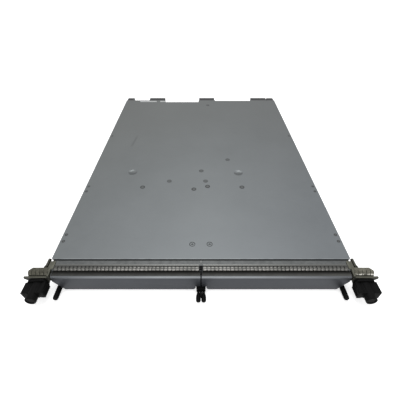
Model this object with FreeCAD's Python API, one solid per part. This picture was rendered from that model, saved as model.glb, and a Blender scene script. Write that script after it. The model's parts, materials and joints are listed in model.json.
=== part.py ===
"""Plug-in interface module for a network chassis, lying with its sheet cover upwards.

A flat cover carries two side rails, a folded faceplate frame with two card bays closed by filler
panels, a board with heat sinks, and the connectors that meet the chassis. A jackscrew at each end of
the faceplate draws the module in. Millimetres, +X to the right, +Y to the rear, +Z up. The origin is
under the middle of the module's box, on the surface that it lies on.
"""
import FreeCAD, Part
import math
import os

from FreeCAD import Vector

# Driving dimensions
COVER_WIDTH = 372.0
COVER_LENGTH = 494.0
HEIGHT = 31.0
COVER_SHEET = 1.5
KNOB_REACH = 49.0
CONNECTOR_REACH = 22.0

# Datums that follow from them
FRONT = -(COVER_LENGTH + CONNECTOR_REACH - KNOB_REACH) / 2
REAR = FRONT + COVER_LENGTH
HALF_WIDTH = COVER_WIDTH / 2
COVER_UNDER = HEIGHT - COVER_SHEET
SIDES = {"left": -1, "right": 1}

# Room between pieces that pass each other, and how far a cutting shape runs past what it cuts
CLEARANCE = 0.2
PAST = 1.0

# Board and the bar that holds its rear edge to the cover
BOARD_GAP = 4.2
BOARD_THICK = 2.4
BOARD_TOP = COVER_UNDER - BOARD_GAP
BOARD_UNDER = BOARD_TOP - BOARD_THICK
BOARD_FRONT = FRONT + 128.0
BOARD_REAR = REAR - 6.0
BOARD_HALF = HALF_WIDTH - 5.0
STIFFENER_HALF = 164.0
STIFFENER_SPAN = (FRONT + 457.0, FRONT + 471.0)

# Side rails, open below along the board for the air that crosses it
RAIL_WEB = 2.2
RAIL_HEAD = 11.0
RAIL_LIP = 8.0
RAIL_LIP_THICK = 1.5
RAIL_START = FRONT + 11.0
RAIL_INNER = HALF_WIDTH - RAIL_WEB
AIR_GAP_SPAN = (FRONT + 138.0, REAR - 46.0)
AIR_GAP_HEIGHT = 16.0
AIR_GAP_CORNER = 5.0

# Faceplate frame, folded from sheet
FRAME_SHEET = 1.5
FRAME_FACE = FRONT - 15.0
FRAME_BEND = 2.0
FRAME_TOP_FLANGE = 25.0
FRAME_BOTTOM_FLANGE = 17.0
FRAME_TAB = 24.0
FRAME_BACK = FRAME_FACE + FRAME_SHEET
BRACKET_WALL = 2.0
FRAME_HALF = RAIL_INNER - BRACKET_WALL
WINDOW_SPAN = (8.0, 168.0)
WINDOW_HEIGHT = (3.5, 26.0)

# Filler panels over the bays, each a pan with its lower corners cut for the captive screws
FILLER_FACE = FRONT - 24.0
FILLER_SHEET = 1.2
FILLER_EAR = FRAME_FACE - FILLER_SHEET
FILLER_INNER = 0.75
FILLER_OUTER = 180.0
FILLER_LOW = 0.5
FILLER_HIGH = 28.2
FILLER_TOP_BEND = 3.2
FILLER_EDGE_BEND = 1.4
FILLER_TOP_RETURN = 3.6
NOTCH_WIDTH = 6.0
NOTCH_HEIGHT = 7.4
NOTCH_SPLAY = 3.5
CORNER_RUN = 11.5
CORNER_RISE = 18.0

# Captive screws, two at the middle and one at each end of the faceplate
CAPTIVE_OFFSETS = {"inner": 3.25, "outer": 175.5}
CAPTIVE_FRONTS = {"inner": FRONT - 42.5, "outer": FRONT - 39.5}
CAPTIVE_HEIGHT = 4.4
CAPTIVE_KNOB_RADIUS = 3.2
CAPTIVE_KNOB_BACK = FILLER_EAR - 0.4
CAPTIVE_STUD_RADIUS = 1.5
CAPTIVE_HOLE_RADIUS = CAPTIVE_STUD_RADIUS + 0.1
CAPTIVE_CAGE_HALF = 1.8
CAPTIVE_NUT_HALF = 2.3
CAPTIVE_NUT_END = FRAME_BACK + 3.2
CAPTIVE_STUD_END = CAPTIVE_NUT_END + 0.6

# Spring-finger gaskets
FINGER_PITCH = 4.75
FINGER_SLOT = 0.6
FINGER_ROOT = 0.9
FINGER_FACETS = 3
FINGER_END_TURN = 176.0
GASKET_SHEET = 0.5
GASKET_RADIUS = 3.4
GASKET_CROWN = HEIGHT + 0.5
GASKET_BASE_FRONT = FRONT - 9.4
GASKET_BASE_REAR = FRONT - 7.0
GASKET_SPAN = (2.4, 178.4)

# Hood of the end bracket and the short gasket round it
HOOD_RADIUS = 6.0
HOOD_WALL = 2.0
HOOD_AXIS = (FRONT - 14.5, HEIGHT - GASKET_SHEET - HOOD_RADIUS)
HOOD_REAR = FRONT - 12.4
HOOD_INNER = 184.4
HOOD_OUTER = 208.0
HOOD_CORNER_CUT = 4.6
HOOD_SKIRT = 22.5
HOOD_FINGERS = 5
HOOD_FINGER_ROOT = 1.2
HOOD_WRAP = 158.0
HOOD_FACETS = 3

# End brackets that carry the jackscrews
PLATE_FACE = FRONT - 24.0
PLATE_BACK = PLATE_FACE + 2.4
PLATE_OUTER = 212.0
PLATE_HIGH = 26.5
PLATE_TIP_LOW = 24.2
PLATE_SHOULDER = 20.5
PLATE_SHOULDER_X = 207.5
LUG_HALF = 8.5
LUG_LOW = 8.0
LUG_CORNER = 4.0
BRACKET_LOW = 2.0
BRACKET_NOSE_LOW = 22.0
BRACKET_REAR = FRONT + 32.0
SHELF_HIGH = PLATE_HIGH - 1.4
TAB_INNER = FRAME_HALF - 2.6
TAB_OUTER = HOOD_INNER + 3.0
TAB_REAR = FRONT - 2.6
TAB_LAP = 1.6
TAB_RIB_LOW = COVER_UNDER - 3.0

# Jackscrews
JACK_X = 196.5
JACK_Z = 16.5
JACK_JOURNAL_RADIUS = 3.2
JACK_RADIUS = 3.0
JACK_RUNNING = 0.06
JACK_TIP_RADIUS = 2.1
JACK_TIP_START = FRONT + 0.1
JACK_TIP_END = FRONT + 11.0
BUSH_HALF_FLATS = 4.6
CLIP_HALF_FLATS = 5.0
CLIP_SPAN = (PLATE_BACK + 0.6, PLATE_BACK + 1.4)
CLIP_MOUTH = 1.9
JOURNAL_END = CLIP_SPAN[1] + 0.4
KNOB_BACK = PLATE_FACE - 0.6
KNOB_FRONT = FRONT - KNOB_REACH
KNOB_SOCKET_END = KNOB_FRONT + 6.0
KNOB_HUB_RADIUS = 6.4
SKIRT_FRONT = KNOB_BACK - 2.4
SKIRT_HALF = (13.4, 8.8)
SKIRT_CORNER = 3.4
WING_FRONT = FRONT - 41.4
WING_HALF = 13.8
WING_END_HEIGHT = 11.8
WING_WAIST_HEIGHT = 9.2
WING_CORNER = 2.0
WING_BEVEL = 0.9
WING_ROOT = KNOB_HUB_RADIUS - 0.6
WING_SWELL = 3.4
GRIP_GROOVE = 2.0
GRIP_GROOVE_DEPTH = 0.4
GRIP_GROOVE_STOP = 2.5
KNOB_REST_TURN = {"left": -7.0, "right": 0.0}

# Bay divider, card guides and the sockets at the back of the bays
DIVIDER_WEB = 2.8
DIVIDER_START = CAPTIVE_NUT_END + 1.0
DIVIDER_END = BOARD_FRONT - 1.5
DIVIDER_FLANGE = 32.0
DIVIDER_FLANGE_THICK = 2.0
DIVIDER_FOOT = 7.0
DIVIDER_FOOT_HEIGHT = (CLEARANCE, 1.7)
GUIDE_SPAN = (FRONT + 34.0, FRONT + 122.0)
GUIDE_HEIGHT = (9.0, 17.0)
GUIDE_DEPTH = 5.6
GUIDE_WALL = 1.8
GUIDE_GROOVE = 2.2
GUIDE_FLARE = (6.0, 7.0)
SOCKET_SPAN = (36.0, 140.0)
SOCKET_DEPTH = 14.0
SOCKET_HEIGHT = 12.0
SOCKET_SETBACK = 2.0
SOCKET_SLOT = 2.0
SOCKET_SLOT_DEPTH = 7.0
SOCKET_SLOT_ROWS = (0.3, 0.7)
SOCKET_CHEEK = 4.0

# Rear connectors and guide blocks, placed as they stand behind the cover's rear edge
CONNECTOR_CENTRES = {"left": -110.3, "middle": 16.0, "right": 148.2}
CONNECTOR_WIDTH = 39.0
CONNECTOR_TOP = 28.5
CONNECTOR_LOW = 4.5
CONNECTOR_START = BOARD_REAR + 0.5
CONNECTOR_BACK = REAR + CONNECTOR_REACH
CONNECTOR_FOOT = 22.0
CONNECTOR_FOOT_INSET = 1.0
CONNECTOR_BEVEL = 0.9
CONNECTOR_SLOTS = 9
CONNECTOR_SLOT = 1.7
CONNECTOR_SLOT_DEPTH = 9.0
CONNECTOR_RIM = 2.5
GUIDE_BLOCK_SPAN = (169.6, 186.0)
GUIDE_BLOCK_LOW = 6.0
GUIDE_BLOCK_FOOT = 20.0
GUIDE_BLOCK_BEVEL = 1.6
GUIDE_BORE_RADIUS = 4.0
GUIDE_BORE_Z = 15.0
GUIDE_BORE_DEPTH = 25.0

# Rear edge of the cover: (from x, to x, how far the edge is set back)
REAR_NOTCHES = ((-88.0, -5.0, 11.0), (37.0, 126.0, 3.2))
COVER_CORNER = 1.2

# Fixings that show in the cover: (x, distance behind the front edge)
STANDOFFS = (
    (-94.0, 143.0), (66.5, 143.0), (11.0, 145.0), (-11.0, 138.0), (8.0, 159.0),
    (-52.0, 159.0), (1.0, 188.0), (49.0, 223.0),
)
DIMPLES = ((-117.0, 184.0), (64.5, 182.5))
DIVIDER_SCREWS = ((-11.3, 24.0), (11.3, 24.0))
STANDOFF_HALF_FLATS = 3.2
DIMPLE_RADIUS = 7.8
DIMPLE_FLOOR_RADIUS = 4.8
DIMPLE_FLOOR = HEIGHT - 1.1
SCREW_HEAD_RADIUS = 4.15
SCREW_SUNK = 0.1

# Heat sinks: (name, centre x, distance behind the front edge, width, length)
HEAT_SINKS = (
    ("front_left", -96.0, 222.0, 104.0, 92.0),
    ("front_right", 96.0, 222.0, 104.0, 92.0),
    ("rear_left", -92.0, 338.0, 92.0, 84.0),
    ("rear_right", 92.0, 338.0, 92.0, 84.0),
)
PACKAGE_THICK = 2.6
PACKAGE_SIDE = 45.0
SINK_BASE = 3.0
SINK_LOW = 3.0
FIN_THICK = 1.6
FIN_PITCH = 5.4

# Power converters and memory packages on the board
POWER_BRICKS = {"left": -102.0, "right": 66.0}
BRICK_SIZE = (58.0, 37.0, 11.0)
BRICK_ROW = 420.0
BRICK_GROOVES = 7
BRICK_GROOVE = (2.4, 4.0)
MEMORY_COLUMNS = (-24.0, -8.0, 8.0, 24.0)
MEMORY_ROWS = (196.0, 220.0, 244.0, 306.0, 330.0, 354.0)
MEMORY_SIZE = (11.0, 13.0, 1.2)


def box(x, y, z):
    """Box between the ordered pairs x, y and z."""
    return Part.makeBox(x[1] - x[0], y[1] - y[0], z[1] - z[0], Vector(x[0], y[0], z[0]))


def mirrored_span(side, inner, outer):
    """The span from inner to outer on one side of the middle plane, as an ordered pair."""
    return tuple(sorted((side * inner, side * outer)))


def rod_y(x, z, radius, start, end):
    return Part.makeCylinder(radius, end - start, Vector(x, start, z), Vector(0, 1, 0))


def rod_z(x, row, radius, top):
    """Upright rod from the cover's underside to a height, at a distance behind the front edge."""
    return Part.makeCylinder(radius, top - COVER_UNDER, Vector(x, FRONT + row, COVER_UNDER))


def corner_arc(before, corner, after, radius):
    """Tangent points and middle point of the arc that rounds a corner of a flat outline."""
    to_before = (before - corner).normalize()
    to_after = (after - corner).normalize()
    half = to_before.getAngle(to_after) / 2
    reach = radius / math.tan(half)
    bisector = (to_before + to_after).normalize()
    middle = corner + bisector * (radius / math.sin(half) - radius)
    return corner + to_before * reach, middle, corner + to_after * reach


def outline(corners, place):
    """Closed face through (u, v, radius) corners, laid in space by place(u, v)."""
    points = [place(u, v) for u, v, _ in corners]
    edges = []
    stops = []
    for i, (_, _, radius) in enumerate(corners):
        if radius > 0:
            stops.append(corner_arc(points[i - 1], points[i], points[(i + 1) % len(points)], radius))
        else:
            stops.append((points[i],))
    for i, stop in enumerate(stops):
        if len(stop) == 3:
            edges.append(Part.Arc(*stop).toShape())
        following = stops[(i + 1) % len(stops)][0]
        if (following - stop[-1]).Length > 1e-6:
            edges.append(Part.LineSegment(stop[-1], following).toShape())
    return Part.Face(Part.Wire(edges))


def along_x(corners, span):
    """Solid of a (y, z) outline that runs along X over the span."""
    return outline(corners, lambda y, z: Vector(span[0], y, z)).extrude(Vector(span[1] - span[0], 0, 0))


def along_y(corners, span):
    """Solid of an (x, z) outline that runs along Y over the span."""
    return outline(corners, lambda x, z: Vector(x, span[0], z)).extrude(Vector(0, span[1] - span[0], 0))


def along_z(corners, span):
    """Solid of an (x, y) outline that runs along Z over the span."""
    return outline(corners, lambda x, y: Vector(x, y, span[0])).extrude(Vector(0, 0, span[1] - span[0]))


def sharp(points):
    """Outline corners of zero radius through (u, v) points."""
    return [(u, v, 0) for u, v in points]


def turned_y(section, x, z):
    """Solid of revolution of (radius, y) points about the line along Y through x and z."""
    face = outline(sharp(section), lambda radius, y: Vector(x + radius, y, z))
    return face.revolve(Vector(x, 0, z), Vector(0, 1, 0), 360)


def hexagon(u, v, half_flats):
    """Outline corners of a hexagon with flats square to the second axis."""
    reach = half_flats / math.cos(math.radians(30))
    turns = [math.radians(60 * i) for i in range(6)]
    return sharp([(u + reach * math.cos(turn), v + reach * math.sin(turn)) for turn in turns])


def bend_turns(start, end, facets):
    return [start + (end - start) * i / facets for i in range(facets + 1)]


def bend_points(centre, radius, turns):
    """Points (y, z) of a bend round centre, at turns in degrees from +Y towards +Z."""
    angles = [math.radians(turn) for turn in turns]
    return [(centre[0] + radius * math.cos(a), centre[1] + radius * math.sin(a)) for a in angles]


def fused(shapes):
    return shapes[0].multiFuse(shapes[1:]).removeSplitter()


def cover_panel():
    """Flat sheet with set-back lengths of rear edge, seats for two screw heads and two coined dimples."""
    left, right, corner = -HALF_WIDTH, HALF_WIDTH, COVER_CORNER
    edge = [(left, FRONT + corner), (left + corner, FRONT), (right - corner, FRONT), (right, FRONT + corner)]
    edge += [(right, REAR - corner), (right - corner, REAR)]
    for start, end, depth in reversed(REAR_NOTCHES):
        inner = REAR - depth
        edge += [(end, REAR), (end, inner), (start, inner), (start, REAR)]
    edge += [(left + corner, REAR), (left, REAR - corner)]
    sheet = along_z(sharp(edge), (COVER_UNDER, HEIGHT))
    cuts = [rod_z(x, row, SCREW_HEAD_RADIUS, HEIGHT) for x, row in DIVIDER_SCREWS]
    for x, row in DIMPLES:
        cuts.append(Part.makeCone(DIMPLE_FLOOR_RADIUS, DIMPLE_RADIUS, HEIGHT - DIMPLE_FLOOR,
                                  Vector(x, FRONT + row, DIMPLE_FLOOR)))
    return sheet.cut(Part.makeCompound(cuts))


def side_rail(side):
    """Extruded rail: a thick head under the cover, a web and a foot lip, open below along the board."""
    head, lip = side * (HALF_WIDTH - RAIL_HEAD), side * (HALF_WIDTH - RAIL_LIP)
    outer, inner = side * HALF_WIDTH, side * RAIL_INNER
    rail = along_y(sharp([
        (outer, 0), (outer, COVER_UNDER), (head, COVER_UNDER), (head, BOARD_TOP),
        (inner, BOARD_TOP), (inner, RAIL_LIP_THICK), (lip, RAIL_LIP_THICK), (lip, 0),
    ]), (RAIL_START, BOARD_REAR))
    start, end = AIR_GAP_SPAN
    air_gap = along_x([
        (start, -PAST, 0), (end, -PAST, 0),
        (end, AIR_GAP_HEIGHT, AIR_GAP_CORNER), (start, AIR_GAP_HEIGHT, AIR_GAP_CORNER),
    ], mirrored_span(side, HALF_WIDTH - RAIL_LIP - PAST, HALF_WIDTH + PAST))
    return rail.cut(air_gap)


def captive_axes(side):
    """X of the two captive screws on one side."""
    return [side * offset for offset in CAPTIVE_OFFSETS.values()]


def square_rod(x, half, start, end):
    """Square bar along Y round a captive screw's axis."""
    return box((x - half, x + half), (start, end), (CAPTIVE_HEIGHT - half, CAPTIVE_HEIGHT + half))


def faceplate_frame():
    """Folded channel with a window for each bay, square holes for the cage nuts and tabs at its ends."""
    top_end, bottom_end = FRAME_FACE + FRAME_TOP_FLANGE, FRAME_FACE + FRAME_BOTTOM_FLANGE
    flange_under, inner_bend = COVER_UNDER - FRAME_SHEET, FRAME_BEND - FRAME_SHEET
    channel = along_x([
        (top_end, COVER_UNDER, 0), (FRAME_FACE, COVER_UNDER, FRAME_BEND),
        (FRAME_FACE, 0, FRAME_BEND), (bottom_end, 0, 0),
        (bottom_end, FRAME_SHEET, 0), (FRAME_BACK, FRAME_SHEET, inner_bend),
        (FRAME_BACK, flange_under, inner_bend), (top_end, flange_under, 0),
    ], (-FRAME_HALF, FRAME_HALF))
    tab_depth, tab_height = (FRAME_BACK, FRAME_BACK + FRAME_TAB), (FRAME_SHEET, flange_under)
    tabs = []
    cuts = []
    for side in SIDES.values():
        tabs.append(box(mirrored_span(side, FRAME_HALF - FRAME_SHEET, FRAME_HALF), tab_depth, tab_height))
        cuts.append(box(mirrored_span(side, *WINDOW_SPAN), (FRAME_FACE, FRAME_BACK), WINDOW_HEIGHT))
        for x in captive_axes(side):
            cuts.append(square_rod(x, CAPTIVE_CAGE_HALF, FRAME_FACE, FRAME_BACK))
    return fused([channel] + tabs).cut(Part.makeCompound(cuts))


def captive_nuts():
    """Cage nuts on the frame's back that the captive screws turn in, as one group."""
    span = (FRAME_BACK, CAPTIVE_NUT_END)
    nuts = []
    for side in SIDES.values():
        for x in captive_axes(side):
            body = square_rod(x, CAPTIVE_NUT_HALF, *span)
            nuts.append(body.cut(rod_y(x, CAPTIVE_HEIGHT, CAPTIVE_HOLE_RADIUS, *span)))
    return Part.makeCompound(nuts)


def middle_notch(side, grow):
    """Outline of a filler's notch at the middle of the module, with its walls moved out by grow."""
    past, wall = side * (FILLER_INNER - PAST), side * (FILLER_INNER + NOTCH_WIDTH + grow)
    below, top = FILLER_LOW - PAST, FILLER_LOW + NOTCH_HEIGHT + grow
    splay = wall + side * (NOTCH_SPLAY + PAST)
    return sharp([(past, below), (splay, below), (wall, FILLER_LOW + NOTCH_SPLAY), (wall, top), (past, top)])


def end_slant(side, grow):
    """Outline of the slanting cut at a filler's outer lower corner, with its wall moved out by grow."""
    slope = CORNER_RUN / CORNER_RISE
    shift = grow * math.hypot(CORNER_RUN, CORNER_RISE) / CORNER_RISE
    past, below = FILLER_OUTER + PAST, FILLER_LOW - PAST
    foot = FILLER_OUTER - CORNER_RUN - shift - PAST * slope
    top = below + (past - foot) / slope
    return sharp([(side * past, below), (side * foot, below), (side * past, top)])


def bay_filler(side):
    """Folded pan with a rolled top edge and a recessed ear at each lower corner for a captive screw."""
    span = mirrored_span(side, FILLER_INNER, FILLER_OUTER)
    face, back, sheet = FILLER_FACE, FRAME_FACE, FILLER_SHEET
    solid = along_x([
        (face, FILLER_LOW, FILLER_EDGE_BEND), (face, FILLER_HIGH, FILLER_TOP_BEND),
        (back, FILLER_HIGH, 0), (back, FILLER_LOW, 0),
    ], span)
    inside = (span[0] + sheet, span[1] - sheet)
    hollow = along_x([
        (face + sheet, FILLER_LOW + sheet, 0), (face + sheet, FILLER_HIGH - sheet, FILLER_TOP_BEND - sheet),
        (back + PAST, FILLER_HIGH - sheet, 0), (back + PAST, FILLER_LOW + sheet, 0),
    ], inside)
    for corner in (middle_notch, end_slant):
        solid = solid.cut(along_y(corner(side, 0), (face - PAST, FILLER_EAR)))
        hollow = hollow.cut(along_y(corner(side, sheet), (face, back + PAST)))
    pan = solid.cut(hollow)
    top_gap = box(inside, (face + FILLER_TOP_RETURN, back + PAST), (FILLER_HIGH - sheet, FILLER_HIGH + PAST))
    holes = [rod_y(x, CAPTIVE_HEIGHT, CAPTIVE_HOLE_RADIUS, FILLER_EAR, back) for x in captive_axes(side)]
    return pan.cut(Part.makeCompound([top_gap] + holes))


def captive_knob(x, front):
    """Slim round knob of a captive screw."""
    return rod_y(x, CAPTIVE_HEIGHT, CAPTIVE_KNOB_RADIUS, front, CAPTIVE_KNOB_BACK)


def captive_stud(x):
    """Threaded end of a captive screw, drawn plain at its outside diameter."""
    return rod_y(x, CAPTIVE_HEIGHT, CAPTIVE_STUD_RADIUS, CAPTIVE_KNOB_BACK, CAPTIVE_STUD_END)


def finger_slots(start, count, y):
    """Saw cuts between the fingers of a gasket, count of them, one pitch apart from start."""
    middles = [start + (i + 1) * FINGER_PITCH for i in range(count)]
    half = FINGER_SLOT / 2
    return Part.makeCompound([box((x - half, x + half), y, (0, HEIGHT + PAST)) for x in middles])


def gasket_strip(side):
    """Spring fingers that arch over the frame's top front edge from a flat base strip."""
    span = mirrored_span(side, *GASKET_SPAN)
    base_top = COVER_UNDER + GASKET_SHEET
    centre_z = GASKET_CROWN - GASKET_RADIUS
    start_turn = math.degrees(math.asin((base_top - centre_z) / GASKET_RADIUS))
    centre = (GASKET_BASE_FRONT - GASKET_RADIUS * math.cos(math.radians(start_turn)), centre_z)
    turns = bend_turns(start_turn, FINGER_END_TURN, FINGER_FACETS)
    outside = [(GASKET_BASE_REAR, base_top)] + bend_points(centre, GASKET_RADIUS, turns)
    inside = bend_points(centre, GASKET_RADIUS - GASKET_SHEET, reversed(turns))
    under = [(GASKET_BASE_FRONT, COVER_UNDER), (GASKET_BASE_REAR, COVER_UNDER)]
    strip = along_x(sharp(outside + inside + under), span)
    count = int((span[1] - span[0]) / FINGER_PITCH)
    slot_y = (FILLER_FACE, GASKET_BASE_FRONT - FINGER_ROOT)
    return strip.cut(finger_slots(span[0], count, slot_y))


def hood_plan(side):
    """Upright block on the plan of the bracket's hood, with its outer rear corner cut off."""
    front, cut = HOOD_AXIS[0] - HOOD_RADIUS - PAST, HOOD_CORNER_CUT
    return along_z(sharp([
        (side * HOOD_INNER, front), (side * HOOD_OUTER, front), (side * HOOD_OUTER, HOOD_REAR - cut),
        (side * (HOOD_OUTER - cut), HOOD_REAR), (side * HOOD_INNER, HOOD_REAR),
    ]), (0, HEIGHT + PAST))


def hood_turns():
    """Turns of the bends across the hood, from its flat top to the end of its gasket."""
    return bend_turns(90.0, HOOD_WRAP, HOOD_FACETS)


def bracket_gasket(side):
    """Short row of broad spring fingers wrapped round the bracket's hood."""
    span = mirrored_span(side, HOOD_INNER, HOOD_OUTER)
    outside = [(HOOD_REAR, HEIGHT)] + bend_points(HOOD_AXIS, HOOD_RADIUS + GASKET_SHEET, hood_turns())
    inside = bend_points(HOOD_AXIS, HOOD_RADIUS, reversed(hood_turns()))
    inside.append((HOOD_REAR, HEIGHT - GASKET_SHEET))
    strip = along_x(sharp(outside + inside), span).common(hood_plan(side))
    slot_y = (PLATE_FACE, HOOD_REAR - HOOD_FINGER_ROOT)
    return strip.cut(finger_slots(span[0], HOOD_FINGERS - 1, slot_y))


def bracket_hood(side):
    """Rounded hood of the bracket, which its gasket wraps, and the shelf that joins it to the plate."""
    top, under = HOOD_AXIS[1] + HOOD_RADIUS, HOOD_AXIS[1] + HOOD_RADIUS - HOOD_WALL
    front, inside = HOOD_AXIS[0] - HOOD_RADIUS, HOOD_AXIS[0] - HOOD_RADIUS + HOOD_WALL
    outer_bend = [(HOOD_REAR, top)] + bend_points(HOOD_AXIS, HOOD_RADIUS, hood_turns() + [180.0])
    inner_bend = bend_points(HOOD_AXIS, HOOD_RADIUS - HOOD_WALL, [180.0, 135.0, 90.0]) + [(HOOD_REAR, under)]
    shell = along_x(sharp(outer_bend + [(front, HOOD_SKIRT), (inside, HOOD_SKIRT)] + inner_bend),
                    mirrored_span(side, FRAME_HALF, HOOD_OUTER))
    beside_wall = box(mirrored_span(side, FRAME_HALF, HOOD_INNER), (PLATE_FACE, HOOD_REAR), (0, HEIGHT))
    shelf = box(mirrored_span(side, FRAME_HALF, HOOD_OUTER), (PLATE_BACK - CLEARANCE, inside),
                (HOOD_SKIRT, SHELF_HIGH))
    return fused([shell.common(fused([hood_plan(side), beside_wall])), shelf])


def bracket_tab(side):
    """Flat tab of the bracket that lies on the end of the frame's top flange, with a rib outside it."""
    depth, top = (HOOD_REAR - TAB_LAP, TAB_REAR), HOOD_AXIS[1] + HOOD_RADIUS
    tab = box(mirrored_span(side, TAB_INNER, TAB_OUTER), depth, (COVER_UNDER, top))
    rib = box(mirrored_span(side, RAIL_INNER, TAB_OUTER), depth, (TAB_RIB_LOW, top))
    return fused([tab, rib])


def end_bracket(side):
    """Cast bracket: a plate with a lug for the jackscrew, a hood and a wall against frame and rail."""
    wall = mirrored_span(side, FRAME_HALF, RAIL_INNER)
    inner, outer = side * FRAME_HALF, side * PLATE_OUTER
    lug_inner, lug_outer = side * (JACK_X - LUG_HALF), side * (JACK_X + LUG_HALF)
    plate = along_y([
        (inner, PLATE_SHOULDER, 0), (lug_inner, LUG_LOW, LUG_CORNER), (lug_outer, LUG_LOW, LUG_CORNER),
        (side * PLATE_SHOULDER_X, PLATE_SHOULDER, 0), (outer, PLATE_TIP_LOW, 0),
        (outer, PLATE_HIGH, 0), (inner, PLATE_HIGH, 0),
    ], (PLATE_FACE, PLATE_BACK))
    wall_split = RAIL_START - CLEARANCE
    fore_wall = along_x(sharp([
        (PLATE_FACE, BRACKET_NOSE_LOW), (PLATE_FACE, COVER_UNDER), (wall_split, COVER_UNDER),
        (wall_split, BRACKET_LOW), (FRAME_BACK, BRACKET_LOW),
    ]), wall)
    rear_wall = box(wall, (wall_split, BRACKET_REAR), (RAIL_LIP_THICK + CLEARANCE, BOARD_TOP - CLEARANCE))
    bracket = fused([plate, fore_wall, rear_wall, bracket_hood(side), bracket_tab(side)])
    return bracket.cut(bush_blank(side))


def bush_blank(side):
    """Hexagon bar that the bush is made from, which keeps the bush from turning in the plate."""
    return along_y(hexagon(side * JACK_X, JACK_Z, BUSH_HALF_FLATS), (PLATE_FACE, PLATE_BACK))


def jackscrew_bush(side):
    """Plain bearing bush pressed in the bracket's plate."""
    hole = JACK_JOURNAL_RADIUS + JACK_RUNNING
    return bush_blank(side).cut(rod_y(side * JACK_X, JACK_Z, hole, PLATE_FACE, PLATE_BACK))


def jackscrew_spindle(side):
    """Steel screw of the jack: a journal, a thread drawn at its outside diameter and a pilot point."""
    return turned_y([
        (0, KNOB_SOCKET_END), (JACK_JOURNAL_RADIUS, KNOB_SOCKET_END), (JACK_JOURNAL_RADIUS, JOURNAL_END),
        (JACK_RADIUS, JOURNAL_END), (JACK_RADIUS, JACK_TIP_START),
        (JACK_TIP_RADIUS, JACK_TIP_START), (JACK_TIP_RADIUS, JACK_TIP_END), (0, JACK_TIP_END),
    ], side * JACK_X, JACK_Z)


def jackscrew_clip(side):
    """Open retaining ring on the spindle's journal, behind the bush."""
    x = side * JACK_X
    ring = along_y(hexagon(x, JACK_Z, CLIP_HALF_FLATS), CLIP_SPAN)
    mouth = box((x - CLIP_MOUTH, x + CLIP_MOUTH), CLIP_SPAN, (JACK_Z - CLIP_HALF_FLATS, JACK_Z))
    return ring.cut(rod_y(x, JACK_Z, JACK_JOURNAL_RADIUS, *CLIP_SPAN)).cut(mouth)


def knob_wings(x, z):
    """Two waisted wings of a knob, with a grip groove each side of either root."""
    end, waist, corner = WING_END_HEIGHT / 2, WING_WAIST_HEIGHT / 2, WING_CORNER
    half = [
        (WING_ROOT, -waist), (WING_ROOT + WING_SWELL, -end), (WING_HALF - corner, -end),
        (WING_HALF, corner - end), (WING_HALF, end - corner), (WING_HALF - corner, end),
        (WING_ROOT + WING_SWELL, end), (WING_ROOT, waist),
    ]
    other = [(-u, -v) for u, v in half]
    wings = along_y(sharp([(x + u, z + v) for u, v in half + other]), (WING_FRONT, SKIRT_FRONT))
    front_edges = [e for e in wings.Edges if all(abs(v.Y - WING_FRONT) < 1e-6 for v in e.Vertexes)]
    wings = wings.makeChamfer(WING_BEVEL, front_edges)
    grooves = []
    for wing in (-1, 1):
        middle = x + wing * (KNOB_HUB_RADIUS + GRIP_GROOVE / 2)
        across = (middle - GRIP_GROOVE / 2, middle + GRIP_GROOVE / 2)
        for face in (-1, 1):
            height = mirrored_span(face, waist - GRIP_GROOVE_DEPTH, end + PAST)
            grooves.append(box(across, (WING_FRONT - PAST, SKIRT_FRONT - GRIP_GROOVE_STOP),
                               (z + height[0], z + height[1])))
    return wings.cut(Part.makeCompound(grooves))


def knob_skirt(x, z):
    """Flat back of a knob, a rectangle with its corners cut off, that hides the bracket's lug."""
    wide, high = SKIRT_HALF
    cut = SKIRT_CORNER
    quarter = [(wide, high - cut), (wide - cut, high)]
    half = quarter + [(-u, v) for u, v in reversed(quarter)]
    other = [(-u, -v) for u, v in half]
    return along_y(sharp([(x + u, z + v) for u, v in half + other]), (SKIRT_FRONT, KNOB_BACK))


def jackscrew_knob(name, side):
    """Moulded wing knob: two wings and a flat back on a round hub that stands out in front of them."""
    x, z = side * JACK_X, JACK_Z
    hub = rod_y(x, z, KNOB_HUB_RADIUS, KNOB_FRONT, SKIRT_FRONT)
    socket = rod_y(x, z, JACK_JOURNAL_RADIUS, KNOB_SOCKET_END, KNOB_BACK)
    knob = fused([knob_wings(x, z), hub, knob_skirt(x, z)]).cut(socket)
    knob.rotate(Vector(x, 0, z), Vector(0, 1, 0), KNOB_REST_TURN[name])
    return knob


def bay_divider():
    """Extruded tee between the bays, screwed up to the cover and cut back between the frame's flanges."""
    half_web, half_flange, half_foot = DIVIDER_WEB / 2, DIVIDER_FLANGE / 2, DIVIDER_FOOT / 2
    under = COVER_UNDER - DIVIDER_FLANGE_THICK
    foot_low, foot_top = DIVIDER_FOOT_HEIGHT
    foot_start = FRAME_FACE + FRAME_BOTTOM_FLANGE + CLEARANCE
    flange_start = FRAME_FACE + FRAME_TOP_FLANGE + CLEARANCE
    web = box((-half_web, half_web), (DIVIDER_START, DIVIDER_END), (FRAME_SHEET, under))
    cheek = box((-half_web, half_web), (DIVIDER_START, flange_start), (under, COVER_UNDER - FRAME_SHEET))
    foot = box((-half_foot, half_foot), (foot_start, DIVIDER_END), (foot_low, foot_top))
    flange = box((-half_flange, half_flange), (flange_start, DIVIDER_END), (under, COVER_UNDER))
    return fused([web, cheek, foot, flange])


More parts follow.
